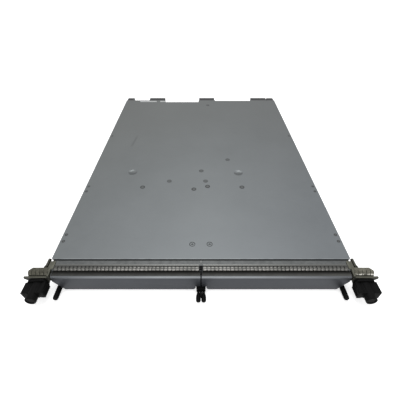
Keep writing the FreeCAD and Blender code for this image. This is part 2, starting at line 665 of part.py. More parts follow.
def bay_guide(side, against):
    """Moulded card guide with a flared groove, fixed to the surface at x = against and open inwards."""
    inwards = side if abs(against) < HALF_WIDTH / 2 else -side
    face = against + inwards * GUIDE_DEPTH
    body = box(tuple(sorted((against, face))), GUIDE_SPAN, GUIDE_HEIGHT)
    middle = sum(GUIDE_HEIGHT) / 2
    groove_depth = tuple(sorted((against + inwards * GUIDE_WALL, face + inwards * PAST)))
    groove = box(groove_depth, GUIDE_SPAN, (middle - GUIDE_GROOVE / 2, middle + GUIDE_GROOVE / 2))
    mouth, throat = GUIDE_SPAN[0], GUIDE_SPAN[0] + GUIDE_FLARE[1]
    flare = along_x(sharp([
        (mouth, middle - GUIDE_FLARE[0] / 2), (throat, middle), (mouth, middle + GUIDE_FLARE[0] / 2),
    ]), groove_depth)
    return body.cut(groove).cut(flare)


def bay_socket(side):
    """Socket on the board's front edge that a card in the bay plugs into, with two rows of slot."""
    span = mirrored_span(side, *SOCKET_SPAN)
    start, low = BOARD_FRONT + SOCKET_SETBACK, BOARD_UNDER - SOCKET_HEIGHT
    body = box(span, (start, start + SOCKET_DEPTH), (low, BOARD_UNDER))
    slots = []
    for share in SOCKET_SLOT_ROWS:
        middle = low + share * SOCKET_HEIGHT
        slots.append(box((span[0] + SOCKET_CHEEK, span[1] - SOCKET_CHEEK), (start, start + SOCKET_SLOT_DEPTH),
                         (middle - SOCKET_SLOT / 2, middle + SOCKET_SLOT / 2)))
    return body.cut(Part.makeCompound(slots))


def board_standoffs():
    """Hexagon standoffs that hang the board from the cover, as one group of separate pieces."""
    return Part.makeCompound([
        along_z(hexagon(x, FRONT + row, STANDOFF_HALF_FLATS), (BOARD_TOP, COVER_UNDER))
        for x, row in STANDOFFS + DIMPLES
    ])


def cover_screws():
    """Flush heads of the screws that hold the divider, as one group."""
    top = HEIGHT - SCREW_SUNK
    return Part.makeCompound([rod_z(x, row, SCREW_HEAD_RADIUS, top) for x, row in DIVIDER_SCREWS])


def main_board():
    """Circuit board, hung under the cover."""
    return box((-BOARD_HALF, BOARD_HALF), (BOARD_FRONT, BOARD_REAR), (BOARD_UNDER, BOARD_TOP))


def rear_stiffener():
    """Bar between cover and board, just in front of the connectors."""
    return box((-STIFFENER_HALF, STIFFENER_HALF), STIFFENER_SPAN, (BOARD_TOP, COVER_UNDER))


def processor_packages():
    """Chip packages under the heat sinks, as one group."""
    half, height = PACKAGE_SIDE / 2, (BOARD_UNDER - PACKAGE_THICK, BOARD_UNDER)
    return Part.makeCompound([
        box((x - half, x + half), (FRONT + row - half, FRONT + row + half), height)
        for _, x, row, _, _ in HEAT_SINKS
    ])


def heat_sink(x, row, width, length):
    """Finned block, with fins across the module for air that crosses from side to side."""
    y, top = FRONT + row, BOARD_UNDER - PACKAGE_THICK
    count = int((length - FIN_THICK) / FIN_PITCH) + 1
    start = y - ((count - 1) * FIN_PITCH + FIN_THICK) / 2
    comb = [(start, top), (start, SINK_LOW)]
    for i in range(count - 1):
        gap_start, gap_end = start + i * FIN_PITCH + FIN_THICK, start + (i + 1) * FIN_PITCH
        comb += [(gap_start, SINK_LOW), (gap_start, top - SINK_BASE), (gap_end, top - SINK_BASE)]
        comb.append((gap_end, SINK_LOW))
    end = start + (count - 1) * FIN_PITCH + FIN_THICK
    comb += [(end, SINK_LOW), (end, top)]
    return along_x(sharp(comb), (x - width / 2, x + width / 2))


def power_brick(x):
    """Board-mounted power converter with a ribbed base plate."""
    width, length, height = BRICK_SIZE
    y, low = FRONT + BRICK_ROW, BOARD_UNDER - height
    block = box((x - width / 2, x + width / 2), (y - length / 2, y + length / 2), (low, BOARD_UNDER))
    groove, depth = BRICK_GROOVE
    pitch = width / (BRICK_GROOVES + 1)
    cuts = []
    for i in range(BRICK_GROOVES):
        middle = x - width / 2 + (i + 1) * pitch
        cuts.append(box((middle - groove / 2, middle + groove / 2),
                        (y - length / 2 - PAST, y + length / 2 + PAST), (low - PAST, low + depth)))
    return block.cut(Part.makeCompound(cuts))


def memory_chips():
    """Memory packages in two banks between the heat sinks, as one group."""
    width, length, thick = MEMORY_SIZE
    return Part.makeCompound([
        box((x - width / 2, x + width / 2), (FRONT + row - length / 2, FRONT + row + length / 2),
            (BOARD_UNDER - thick, BOARD_UNDER))
        for x in MEMORY_COLUMNS for row in MEMORY_ROWS
    ])


def bevelled_back(block, bevel):
    """A block whose edges round its rearmost face are bevelled."""
    back = block.BoundBox.YMax
    rim = [e for e in block.Edges if all(abs(v.Y - back) < 1e-6 for v in e.Vertexes)]
    return block.makeChamfer(bevel, rim)


def backplane_connector(x):
    """Connector housing that hooks round the board's rear edge, with a row of upright wafer slots."""
    half, foot_half = CONNECTOR_WIDTH / 2, CONNECTOR_WIDTH / 2 - CONNECTOR_FOOT_INSET
    shell = box((x - half, x + half), (CONNECTOR_START, CONNECTOR_BACK), (CONNECTOR_LOW, CONNECTOR_TOP))
    foot = box((x - foot_half, x + foot_half), (CONNECTOR_START - CONNECTOR_FOOT, CONNECTOR_START),
               (CONNECTOR_LOW, BOARD_UNDER))
    housing = fused([bevelled_back(shell, CONNECTOR_BEVEL), foot])
    pitch = CONNECTOR_WIDTH / CONNECTOR_SLOTS
    depth = (CONNECTOR_BACK - CONNECTOR_SLOT_DEPTH, CONNECTOR_BACK)
    height = (CONNECTOR_LOW + CONNECTOR_RIM, CONNECTOR_TOP - CONNECTOR_RIM)
    slots = []
    for i in range(CONNECTOR_SLOTS):
        middle = x - half + (i + 0.5) * pitch
        slots.append(box((middle - CONNECTOR_SLOT / 2, middle + CONNECTOR_SLOT / 2), depth, height))
    return housing.cut(Part.makeCompound(slots))


def guide_block(side):
    """Corner block with a bore that a guide pin of the chassis enters from behind."""
    span = mirrored_span(side, *GUIDE_BLOCK_SPAN)
    start = BOARD_REAR + CLEARANCE
    head = box(span, (start, CONNECTOR_BACK), (GUIDE_BLOCK_LOW, CONNECTOR_TOP))
    foot = box(mirrored_span(side, GUIDE_BLOCK_SPAN[0], RAIL_INNER - CLEARANCE),
               (start - GUIDE_BLOCK_FOOT, start), (GUIDE_BLOCK_LOW, BOARD_UNDER))
    bore = rod_y(sum(span) / 2, GUIDE_BORE_Z, GUIDE_BORE_RADIUS, CONNECTOR_BACK - GUIDE_BORE_DEPTH,
                 CONNECTOR_BACK)
    return fused([bevelled_back(head, GUIDE_BLOCK_BEVEL), foot]).cut(bore)


def assembly():
    """Every sub-part by its name."""
    parts = {
        "cover_panel": cover_panel(),
        "faceplate_frame": faceplate_frame(),
        "bay_divider": bay_divider(),
        "main_board": main_board(),
        "rear_stiffener": rear_stiffener(),
        "board_standoffs": board_standoffs(),
        "cover_screws": cover_screws(),
        "captive_nuts": captive_nuts(),
        "processor_packages": processor_packages(),
        "memory_chips": memory_chips(),
    }
    for name, side in SIDES.items():
        parts["side_rail_" + name] = side_rail(side)
        parts["bay_filler_" + name] = bay_filler(side)
        parts["gasket_strip_" + name] = gasket_strip(side)
        parts["end_bracket_" + name] = end_bracket(side)
        parts["bracket_gasket_" + name] = bracket_gasket(side)
        parts["jackscrew_bush_" + name] = jackscrew_bush(side)
        parts["jackscrew_spindle_" + name] = jackscrew_spindle(side)
        parts["jackscrew_clip_" + name] = jackscrew_clip(side)
        parts["jackscrew_knob_" + name] = jackscrew_knob(name, side)
        parts["bay_guide_inner_" + name] = bay_guide(side, side * DIVIDER_WEB / 2)
        parts["bay_guide_outer_" + name] = bay_guide(side, side * RAIL_INNER)
        parts["bay_socket_" + name] = bay_socket(side)
        parts["guide_block_" + name] = guide_block(side)
        parts["power_brick_" + name] = power_brick(POWER_BRICKS[name])
        for place, offset in CAPTIVE_OFFSETS.items():
            parts[f"captive_knob_{place}_{name}"] = captive_knob(side * offset, CAPTIVE_FRONTS[place])
            parts[f"captive_stud_{place}_{name}"] = captive_stud(side * offset)
    for name, x, row, width, length in HEAT_SINKS:
        parts["heat_sink_" + name] = heat_sink(x, row, width, length)
    for name, x in CONNECTOR_CENTRES.items():
        parts["backplane_connector_" + name] = backplane_connector(x)
    return parts


def main():
    os.makedirs("parts", exist_ok=True)
    for name, shape in assembly().items():
        shape.exportStep(f"parts/{name}.step")


main()
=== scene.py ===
"""Studio scene of the interface module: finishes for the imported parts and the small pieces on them.

Lengths are in millimetres, and become metres where Blender takes them.
"""
import json
from contextlib import contextmanager
from functools import partial
from math import atan2, cos, degrees, pi, radians, sin

import bmesh
import bpy
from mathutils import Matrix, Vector

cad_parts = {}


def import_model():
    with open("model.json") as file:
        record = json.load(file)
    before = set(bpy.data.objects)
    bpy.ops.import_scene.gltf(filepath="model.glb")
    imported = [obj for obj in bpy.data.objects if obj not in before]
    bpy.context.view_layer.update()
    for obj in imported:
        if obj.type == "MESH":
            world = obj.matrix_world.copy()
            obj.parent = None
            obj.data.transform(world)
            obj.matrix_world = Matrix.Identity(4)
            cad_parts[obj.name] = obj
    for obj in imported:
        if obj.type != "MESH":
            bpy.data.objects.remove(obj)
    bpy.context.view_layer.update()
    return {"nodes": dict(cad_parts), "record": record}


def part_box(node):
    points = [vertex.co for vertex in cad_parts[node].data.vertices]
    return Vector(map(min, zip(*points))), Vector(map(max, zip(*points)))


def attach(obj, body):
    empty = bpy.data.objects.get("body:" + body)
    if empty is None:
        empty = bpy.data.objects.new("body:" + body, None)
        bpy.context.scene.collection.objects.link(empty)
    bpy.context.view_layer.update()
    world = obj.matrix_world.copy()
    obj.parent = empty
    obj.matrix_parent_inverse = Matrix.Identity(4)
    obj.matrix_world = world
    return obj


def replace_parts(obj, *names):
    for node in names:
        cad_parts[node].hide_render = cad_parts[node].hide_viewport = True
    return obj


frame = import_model()
MM = 0.001


def metres(place):
    """A place or a step in Blender's unit."""
    return Vector(place) * MM


def box(node):
    """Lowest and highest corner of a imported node."""
    return [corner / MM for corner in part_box(node)]


# Places read from the frame
COVER_LOW, COVER_HIGH = box("cover_panel")
FRONT, LENGTH = COVER_LOW.y, COVER_HIGH.y - COVER_LOW.y
TOP, HALF_WIDTH = COVER_HIGH.z, COVER_HIGH.x
SIDES = (("left", -1), ("right", 1))

# The photograph's camera, fitted to the cover's corners: a square image with this focal length
IMAGE_SIDE = 400
FOCAL_PIXELS = 289.2
SENSOR = 36.0
CAMERA_PLACE = (-1.25, FRONT - 222.0, TOP + 292.3)
CAMERA_DOWN = radians(41.23)
CLIP_START = 10.0


def linear(level):
    """Linear value of a display level from 0 to 255."""
    share = level / 255
    return share / 12.92 if share <= 0.04045 else ((share + 0.055) / 1.055) ** 2.4


def operator(operation, reflected=False):
    """Method that adds a Math node to the tree of the signal that it acts on."""
    def act(self, *others):
        values = (*others, self) if reflected else (self, *others)
        return self.owner.node("ShaderNodeMath", {"operation": operation}, dict(enumerate(values)))
    return act


class Signal:
    """A shader socket that arithmetic acts on."""

    def __init__(self, owner, socket):
        self.owner = owner
        self.socket = socket

    __add__, __radd__ = operator("ADD"), operator("ADD", reflected=True)
    __sub__, __rsub__ = operator("SUBTRACT"), operator("SUBTRACT", reflected=True)
    __mul__, __rmul__ = operator("MULTIPLY"), operator("MULTIPLY", reflected=True)
    __truediv__ = operator("DIVIDE")
    __mod__ = operator("FLOORED_MODULO")
    __gt__ = operator("GREATER_THAN")
    __lt__ = operator("LESS_THAN")
    __or__ = operator("MAXIMUM")
    __abs__ = operator("ABSOLUTE")


class Backdrop:
    """A node tree, and the one method that adds a node to it."""

    def __init__(self, tree):
        self.tree = tree

    def node(self, kind, settings=None, inputs=None, output=0):
        """A new node with its settings, and the values or links of its sockets."""
        made = self.tree.nodes.new(kind)
        for name, value in (settings or {}).items():
            setattr(made, name, value)
        for key, value in (inputs or {}).items():
            self.feed(made.inputs[key], value)
        return Signal(self, made.outputs[output])

    def feed(self, socket, value):
        """Links a signal to a socket, or sets the socket's value."""
        if isinstance(value, Signal):
            self.tree.links.new(value.socket, socket)
        else:
            socket.default_value = value

    def seen(self):
        """1 for rays to the camera, in gloss and through glass."""
        camera, glossy, through = [
            self.node("ShaderNodeLightPath", output=f"Is {ray} Ray")
            for ray in ("Camera", "Glossy", "Transmission")
        ]
        return camera | glossy | through


class Finish(Backdrop):
    """One material: a principled shader, and the nodes that vary it over a piece."""

    def __init__(self, name, **constants):
        self.material = bpy.data.materials.new(name)
        self.material.use_nodes = True
        super().__init__(self.material.node_tree)
        self.shader = self.tree.nodes["Principled BSDF"]
        self.place = self.node("ShaderNodeTexCoord", output="Object")
        self.set(**constants)

    def set(self, **values):
        """Feeds the shader's sockets, named with underscores for spaces."""
        for name, value in values.items():
            self.feed(self.shader.inputs[name.replace("_", " ")], value)
        return self.material

    def axis(self, index):
        return self.node("ShaderNodeSeparateXYZ", inputs={0: self.place}, output=index) / MM

    # Place of the surface: to the right of the middle, behind the cover's front edge, and up
    aside = property(lambda self: self.axis(0))
    behind = property(lambda self: self.axis(1) - FRONT)
    height = property(lambda self: self.axis(2))

    def cells(self, size, stretch=(1, 1, 1), turn=0.0):
        """Inputs of a texture with cells of a size, turned, and drawn out along the axes by stretch."""
        scale = [1.0 / (size * MM * share) for share in stretch]
        mapped = {"Vector": self.place, "Rotation": (0.0, 0.0, radians(turn)), "Scale": scale}
        return {"Vector": self.node("ShaderNodeMapping", inputs=mapped), "Scale": 1.0}

    def noise(self, size, detail=2.0, **layout):
        """Noise from 0 to 1 with features of a size."""
        return self.node("ShaderNodeTexNoise", inputs={**self.cells(size, **layout), "Detail": detail})

    def span(self, value, low, high):
        """0 below low, 1 above high, and straight between them."""
        return self.node("ShaderNodeMapRange", inputs={"Value": value, "From Min": low, "From Max": high})

    def blend(self, factor, *ends):
        """Colour between two ends, each a signal or display levels of red, green and blue."""
        first, second = [
            end if isinstance(end, Signal) else (*[linear(level) for level in end], 1.0) for end in ends
        ]
        return self.node("ShaderNodeMix", {"data_type": "RGBA"}, {0: factor, 6: first, 7: second}, output=2)

    def scratches(self, length, width, turn, share):
        """Sparse thin lines, as a mask, that run at a turn from X."""
        streak = self.noise(width, detail=3.0, stretch=(length / width, 1, 1), turn=turn)
        return self.span(streak, 1.0 - share, 1.0 - share * 0.6)

    def lay(self, mask, colour):
        """Lays a colour over the present one, where a mask is 1."""
        self.colour = self.blend(mask, self.colour, colour)

    def done(self, roughness, relief, depth):
        """The material, with its roughness, and a relief from 0 to 1 that stands for a depth."""
        bump = self.node("ShaderNodeBump", inputs={"Height": relief, "Distance": depth * MM, "Strength": 1.0})
        return self.set(Base_Color=self.colour, Roughness=roughness, Normal=bump)


# Marks on the cover: (x, distance behind the front edge)
DIMPLES = ((-117.0, 184.0), (64.5, 182.5))
DIMPLE_RADIUS = 7.8
RUB_MARK = (-132.0, 290.0)
RUB_SLANT = 0.12


def dimple_shade(f, spot):
    """Mask of painted shade in the near half of a pressed dimple."""
    aside = (f.aside - spot[0]) / DIMPLE_RADIUS
    behind = (f.behind - spot[1]) / DIMPLE_RADIUS
    inside = 1 - f.span(aside * aside + behind * behind, 0.7, 1.1)
    return inside * (1 - f.span(behind, -0.1, 0.35))


def rub_mark(f):
    """Mask of one faint slanted rub mark on the cover."""
    behind = f.behind - RUB_MARK[1]
    aside = abs(f.aside - RUB_MARK[0] - RUB_SLANT * behind)
    return (1 - f.span(aside, 1.0, 3.2)) * (1 - f.span(abs(behind), 12, 26))


def zinc_cover():
    """Dull zinc-plated sheet: mottled and scratched, with a painted sheen in the middle near the front,
    painted shade towards the rear and the sides, a painted highlight along the front rim, dark sheared edges
    deepened with painted shade, and painted shade in the dimples.
    """
    f = Finish("zinc_cover", Metallic=0.85)
    cloud = f.noise(85, detail=3.0)
    mottle = f.noise(9, detail=4.0)
    grain = f.noise(0.7, stretch=(14, 1, 1))
    behind, aside = f.behind, abs(f.aside)
    near = 1 - f.span(behind, 60, LENGTH - 60)
    drift = 0.4 * (f.aside / (2 * HALF_WIDTH) + 0.5) + 0.6 * near
    clean = f.blend(drift, (113, 116, 115), (112, 116, 119))
    dull = f.blend(drift, (107, 110, 109), (106, 110, 113))
    shade = 0.6 * cloud + 0.25 * mottle + 0.15 * grain
    f.colour = f.blend(f.span(shade, 0.35, 0.65), dull, clean)
    # Painted sheen: the middle of the cover near the front is painted lighter.
    centre_sheen = (1 - f.span(aside, 10, 170)) * (1 - f.span(behind, 180, 320)) * f.span(behind, -20, 70)
    f.lay(0.35 * centre_sheen, (128, 132, 133))
    # Painted shade: darker towards the rear and towards the sides.
    sides = f.span(aside, 60, 180) * f.span(behind, 100, 300)
    f.lay(0.35 * f.span(behind, 280, 490) + 0.2 * sides, (92, 94, 94))
    wear_and_highlight = f.scratches(60, 0.35, 24, 0.24) * 0.5 + f.scratches(35, 0.3, -63, 0.22) * 0.5
    f.lay(wear_and_highlight * 0.25, (142, 145, 145))
    # Painted highlight: a patchy lighter band along the rounded front rim.
    tone_and_sheen = (1 - f.span(behind, 0.4, 1.8)) * f.span(mottle, 0.25, 0.6)
    f.lay(tone_and_sheen * 0.45, (150, 154, 156))
    # Edge faces below the top: dark as sheared steel, and darkened further with painted shade.
    rim = (behind < 0.5) | (aside > HALF_WIDTH - 1.4) | (behind > LENGTH - 12)
    f.lay(rim * (f.height < TOP - 0.12), (52, 54, 56))
    # Painted shade in the near half of each dimple.
    for spot in DIMPLES:
        f.lay(dimple_shade(f, spot), (90, 93, 94))
    f.lay(rub_mark(f) * 0.4, (84, 86, 86))
    rough = 0.5 + 0.08 * (mottle - 0.5) + 0.06 * (cloud - 0.5) - 0.06 * wear_and_highlight
    return f.done(rough, 0.6 * mottle + 0.4 * grain, 0.015)


def zinc_frame():
    """The plated sheet of the folded frame, with painted shade under the cover's edge and black painted shade
    in its middle slot.
    """
    f = Finish("zinc_frame", Metallic=0.85)
    mottle = f.noise(6, detail=4.0)
    grain = f.noise(0.6, stretch=(16, 1, 1))
    behind = f.behind
    f.colour = f.blend(f.span(mottle, 0.35, 0.65), (84, 86, 86), (96, 98, 98))
    # Painted shade: a dark band on the frame under the cover's front edge.
    f.lay(f.span(behind, -1.6, -0.9) * 0.85, (38, 40, 41))
    # Painted shade: the middle slot between the gaskets is painted black.
    slot = (abs(f.aside) < 2.3) * (behind < -8.6)
    f.lay(slot, (6, 6, 6))
    return f.done(0.46 + 0.1 * grain, grain, 0.01)


def filler_grey():
    """Blue-grey plated sheet of the filler panels, with a fine even texture and a painted highlight along the
    top bend, brightest near the middle.
    """
    f = Finish("filler_grey", Metallic=0.8)
    cloud = f.noise(40, detail=3.0)
    grain = f.noise(0.5, stretch=(10, 1, 1))
    f.colour = f.blend(0.7 * cloud + 0.3 * grain, (61, 63, 67), (71, 73, 78))
    # Painted highlight along the top bend, strongest near the middle and fading towards the ends.
    tone_and_sheen = 1 - 0.35 * f.span(abs(f.aside), 70, 170) - 0.15 * f.span(f.aside, 40, 150)
    wear_and_highlight = f.span(f.height, 24.8, 25.6) * tone_and_sheen * (0.8 + 0.2 * f.span(f.noise(60), 0.3, 0.6))
    f.lay(wear_and_highlight, (124, 127, 130))
    return f.done(0.5 + 0.1 * grain - 0.1 * wear_and_highlight, grain, 0.01)


def hood_metal():
    """Spring strip of the brackets' hoods, with an olive cast in patches, the right one painted lighter and
    with painted glints along its lower edge.
    """
    f = Finish("hood_metal", Metallic=1.0)
    patch = f.noise(7)
    rub = f.noise(1.2, detail=3.0)
    # Painted light: the right hood's tone is painted lighter.
    right = f.aside > 0
    tone_and_sheen = f.span(0.7 * patch + 0.3 * rub, 0.35, 0.65) * (0.35 + 0.65 * right)
    f.colour = f.blend(tone_and_sheen, (74, 73, 65), (122, 120, 110))
    # Painted glints along the right hood's lower edge.
    wear_and_highlight = (1 - f.span(f.height, 27.8, 29.0)) * f.span(patch, 0.35, 0.5) * right
    f.lay(wear_and_highlight, (200, 198, 190))
    return f.done(0.2 + 0.16 * rub, rub, 0.02)


GASKET_FINGERS, HOOD_FINGERS = 37, 5


def gasket_metal():
    """Spring strip of the long gaskets: light base, painted shade at the fingers' roots and over the tops of
    their curls, a painted highlight on their fronts, and painted shade along their side edges and at their
    tips.
    """
    f = Finish("gasket_metal", Metallic=1.0)
    patch = f.noise(18)
    rub = f.noise(1.4, detail=3.0)
    aside, behind, height = abs(f.aside), f.behind, f.height
    low, high = box("gasket_strip_right")
    finger = (aside - low.x) / (high.x - low.x) * GASKET_FINGERS
    outwards = f.span(aside, 40, 170)
    bright = f.span(0.75 * patch + 0.25 * rub, 0.34, 0.64) * (1 - 0.72 * outwards)
    bright = bright * (0.7 + 0.3 * f.span(aside, 20, 60))
    f.colour = f.blend(bright, (98, 98, 95), (128, 127, 124))
    base = f.blend(outwards, (116, 117, 115), (102, 103, 101))
    f.lay(f.span(behind, -9.0, -8.6), base)
    # Painted shade in the crease at the fingers' roots.
    root = f.span(behind, -11.5, -10.6) * (1 - f.span(behind, -8.9, -8.5))
    f.lay(root * 0.95, (72, 72, 70))
    # Painted shade over the tops of the curls, dimming their highlight.
    crown_shade = f.span(behind, -13.2, -12.4) * (1 - f.span(behind, -11.8, -11.3))
    f.lay(crown_shade * 0.95, (58, 58, 56))
    # Painted highlight on the fronts of the curls.
    front = 1 - f.span(height, 29.0, 30.0)
    f.lay(front * (0.3 + 0.7 * bright) * (behind < -13.0), (236, 232, 226))
    # Painted shade along the fingers' side edges, towards the gaps between them.
    sides = f.span(abs(finger % 1 - 0.5), 0.2, 0.46) * (behind < -10.4)
    f.lay(sides * (0.35 + 0.35 * front), (42, 42, 40))
    # Painted shade, with a reddish-brown tint, at the fingers' tips.
    tips = 1 - f.span(height, 28.4, 28.9)
    f.lay(tips * 0.5, (72, 60, 56))
    return f.done(0.22 + 0.16 * rub, rub, 0.02)


def olive_casting():
    """Passivated casting of the end brackets, with an olive cast, a matt skin and painted shade over its
    front.
    """
    f = Finish("olive_casting", Metallic=0.75)
    cloud = f.noise(12, detail=3.0)
    skin = f.noise(0.9, detail=4.0)
    f.colour = f.blend(f.span(cloud, 0.3, 0.7), (78, 78, 69), (94, 94, 85))
    # Painted shade over the front face and the front edge of the ledge.
    f.lay((f.behind < -23.9) * 0.85, (34, 34, 31))
    return f.done(0.48 + 0.14 * skin, skin, 0.03)


def extruded_rail():
    """Chromated aluminium extrusion with draw lines along its length."""
    f = Finish("extruded_rail", Metallic=0.9)
    lines = f.noise(0.5, detail=3.0, stretch=(1, 60, 1))
    cloud = f.noise(30)
    f.colour = f.blend(0.6 * lines + 0.4 * cloud, (104, 105, 104), (128, 129, 127))
    return f.done(0.36 + 0.16 * lines, lines, 0.015)


def turned_metal(name, dark, light, roughness):
    """Turned and plated metal, with rings round its length from the tool."""
    f = Finish(name, Metallic=1.0)
    rings = f.noise(0.25, stretch=(20, 1, 20))
    stain = f.noise(4, detail=3.0)
    f.colour = f.blend(0.5 * rings + 0.5 * stain, dark, light)
    return f.done(roughness + 0.15 * stain, rings, 0.01)


def moulded(name, dark, light, roughness, grain_size, gloss=0.5):
    """Moulded plastic with a fine grained skin and a little dust and wear."""
    f = Finish(name, Specular_IOR_Level=gloss)
    skin = f.noise(grain_size, detail=3.0)
    wear = f.noise(5, detail=4.0)
    f.colour = f.blend(f.span(wear, 0.4, 0.75), dark, light)
    return f.done(roughness + 0.12 * wear, skin, 0.03)


def shade_foam():
    """Black open foam that stands in for the shade in the gaps, painted lighter in patches towards its front
    lip and to the right.
    """
    f = Finish("shade_foam", Specular_IOR_Level=0.05)
    cells = f.noise(0.8, detail=3.0)
    dust = f.noise(9, detail=3.0)
    # Painted light: lighter in patches towards the front lip and to the right.
    forward = 1 - f.span(f.behind, -21.6, -17.4)
    rightward = f.aside / HALF_WIDTH
    f.colour = f.blend(forward * (0.5 + 0.2 * rightward + 0.4 * dust), (24, 24, 23), (82, 82, 80))
    return f.done(0.85 + 0.1 * cells, cells, 0.06)


# Vias: pitch, and radius as a share of it
VIA_PITCH, VIA_RADIUS = 6.25, 0.075


def solder_mask():
    """Green solder mask over copper, with runs of fine tracks and pale vias."""
    f = Finish("solder_mask", Coat_Weight=0.3, Coat_Roughness=0.2)
    lengthways = f.noise(0.7, detail=0.0, stretch=(1, 60, 1))
    crossways = f.noise(0.7, detail=0.0, stretch=(60, 1, 1))
    area = f.span(f.noise(28, detail=1.0), 0.47, 0.5)
    tracks = f.span(lengthways, 0.54, 0.57) * area + f.span(crossways, 0.54, 0.57) * (1 - area)
    vias = f.node("ShaderNodeTexVoronoi", {"voronoi_dimensions": "2D"}, f.cells(VIA_PITCH)) < VIA_RADIUS
    f.colour = f.blend(tracks, (16, 58, 38), (28, 84, 54))
    f.lay(vias, (150, 150, 120))
    return f.done(0.42 - 0.1 * tracks, tracks, 0.03)


def fin_aluminium():
    """Plain extruded heat-sink aluminium with lines across the module."""
    f = Finish("fin_aluminium", Metallic=0.95)
    lines = f.noise(0.4, detail=3.0, stretch=(80, 1, 1))
    cloud = f.noise(18)
    f.colour = f.blend(0.5 * lines + 0.5 * cloud, (138, 139, 141), (166, 167, 168))
    return f.done(0.34 + 0.14 * lines, lines, 0.012)


FINISHES = {
    "cover_sheet": zinc_cover(),
    "frame_sheet": zinc_frame(),
    "filler_sheet": filler_grey(),
    "rail_aluminium": extruded_rail(),
    "spring_strip": gasket_metal(),
    "bracket_casting": olive_casting(),
    "bush_brass": turned_metal("turned_brass", (120, 96, 44), (170, 140, 72), 0.3),
    "spindle_steel": turned_metal("plated_steel", (50, 50, 45), (80, 80, 72), 0.36),
    "knob_plastic": moulded("black_moulding", (6, 6, 6), (10, 10, 10), 0.56, 0.35, gloss=0.08),
    "captive_black": moulded("black_oxide", (6, 6, 6), (10, 10, 10), 0.5, 0.5, gloss=0.08),
    "guide_plastic": moulded("guide_moulding", (26, 26, 27), (40, 40, 41), 0.5, 0.4),
    "connector_plastic": moulded("connector_moulding", (40, 40, 41), (56, 56, 57), 0.55, 0.4, gloss=0.3),
    "converter_plastic": moulded("potted_block", (30, 30, 33), (44, 44, 48), 0.46, 0.6),
    "board_laminate": solder_mask(),
    "chip_plastic": moulded("chip_moulding", (24, 24, 26), (40, 40, 43), 0.48, 0.25),
    "sink_aluminium": fin_aluminium(),
    "fastener_steel": turned_metal("fastener_zinc", (84, 86, 86), (106, 108, 108), 0.4),
}
HOOD_STRIP = hood_metal()
# Painted shade for the grooves round the fixings, and a fainter one.
GROOVE_SHADE = moulded("groove_shade_material", (58, 59, 60), (76, 77, 78), 0.6, 0.4, gloss=0.2)
FAINT_GROOVE_SHADE = moulded("faint_groove_shade_material", (76, 78, 79), (92, 94, 95), 0.6, 0.4, gloss=0.2)
SHADE_FOAM = shade_foam()
# The rivet's metal is painted lighter than the other fasteners, as a painted glint.
RIVET_GLINT_METAL = turned_metal("rivet_glint_metal", (98, 99, 98), (116, 117, 116), 0.42)
CONTACT_GOLD = turned_metal("contact_gold", (146, 114, 50), (182, 146, 74), 0.28)
TAN_CERAMIC = moulded("tan_ceramic", (112, 90, 62), (136, 110, 78), 0.36, 0.3)
PALE_FILM = moulded("pale_film", (168, 170, 170), (186, 188, 188), 0.5, 0.5, gloss=0.3)


def finish_nodes():
    """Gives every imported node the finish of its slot."""
    for subpart in frame["record"]["subparts"]:
        node = frame["nodes"][subpart["node"]]
        node.data.materials.clear()
        node.data.materials.append(FINISHES[subpart["material_slot"]])


# Modelling as by hand: distances within which points count as one place, and are merged
NEAR, MERGE = 0.01, 0.001
SMOOTH_ANGLE = radians(35)
SHARP_ANGLE = radians(40)


def select_only(piece):
    """Leaves one piece selected and active."""
    bpy.ops.object.select_all(action="DESELECT")
    piece.select_set(True)
    bpy.context.view_layer.objects.active = piece


def settle(piece, place=(0, 0, 0), turn=(0, 0, 0)):
    """Moves and turns a piece, then puts that and its scale into its mesh."""
    piece.location = metres(place) + piece.location
    piece.rotation_euler = [a + b for a, b in zip(turn, piece.rotation_euler)]
    select_only(piece)
    bpy.ops.object.transform_apply(location=True, rotation=True, scale=True)
    return piece


def start(name, add, scale=(1, 1, 1), **settings):
    """A new piece that starts from a primitive at its size and place."""
    bpy.ops.object.select_all(action="DESELECT")
    add(**settings)
    piece = bpy.context.object
    piece.name = piece.data.name = name
    piece.scale = scale
    return settle(piece)


def extent(low, high):
    """Middle and size of what lies between two corners, in metres."""
    low, high = metres(low), metres(high)
    return (low + high) / 2, high - low


def block(name, low, high):
    """Cuboid between two corners."""
    middle, size = extent(low, high)
    return start(name, bpy.ops.mesh.primitive_cube_add, size, size=1, location=middle)


def slab(name, half, front, back, low, high, x=0):
    """Cuboid with a half width on both sides of x."""
    return block(name, (x - half, front, low), (x + half, back, high))


def sheet(name, low, high, level):
    """Flat rectangle between two corners in plan."""
    middle, size = extent((*low, level), (*high, level))
    return start(name, bpy.ops.mesh.primitive_plane_add, (size.x, size.y, 1), size=1, location=middle)


def cylinder(name, middle, radius, depth, sides, tilt=0.0):
    """Cylinder tilted about X."""
    return start(name, bpy.ops.mesh.primitive_cylinder_add, vertices=sides, radius=radius * MM,
                 depth=depth * MM, location=metres(middle), rotation=(tilt, 0, 0))


def bar(name, x, z, radius, front, back, sides=32):
    """Round bar along Y."""
    return cylinder(name, (x, (front + back) / 2, z), radius, back - front, sides, pi / 2)


def stub(name, x, y, radius, low, high, sides=24):
    """Round upright stub."""
    return cylinder(name, (x, y, (low + high) / 2), radius, high - low, sides)


@contextmanager
def editing(piece):
    """Edit mode on one piece."""
    select_only(piece)
    bpy.ops.object.mode_set(mode="EDIT")
    yield
    bpy.ops.object.mode_set(mode="OBJECT")


def corners(part):
    """Points of a face or an edge, or the point itself."""
    return [part] if isinstance(part, bmesh.types.BMVert) else list(part.verts)


def middle_of(face):
    return face.calc_center_median() / MM


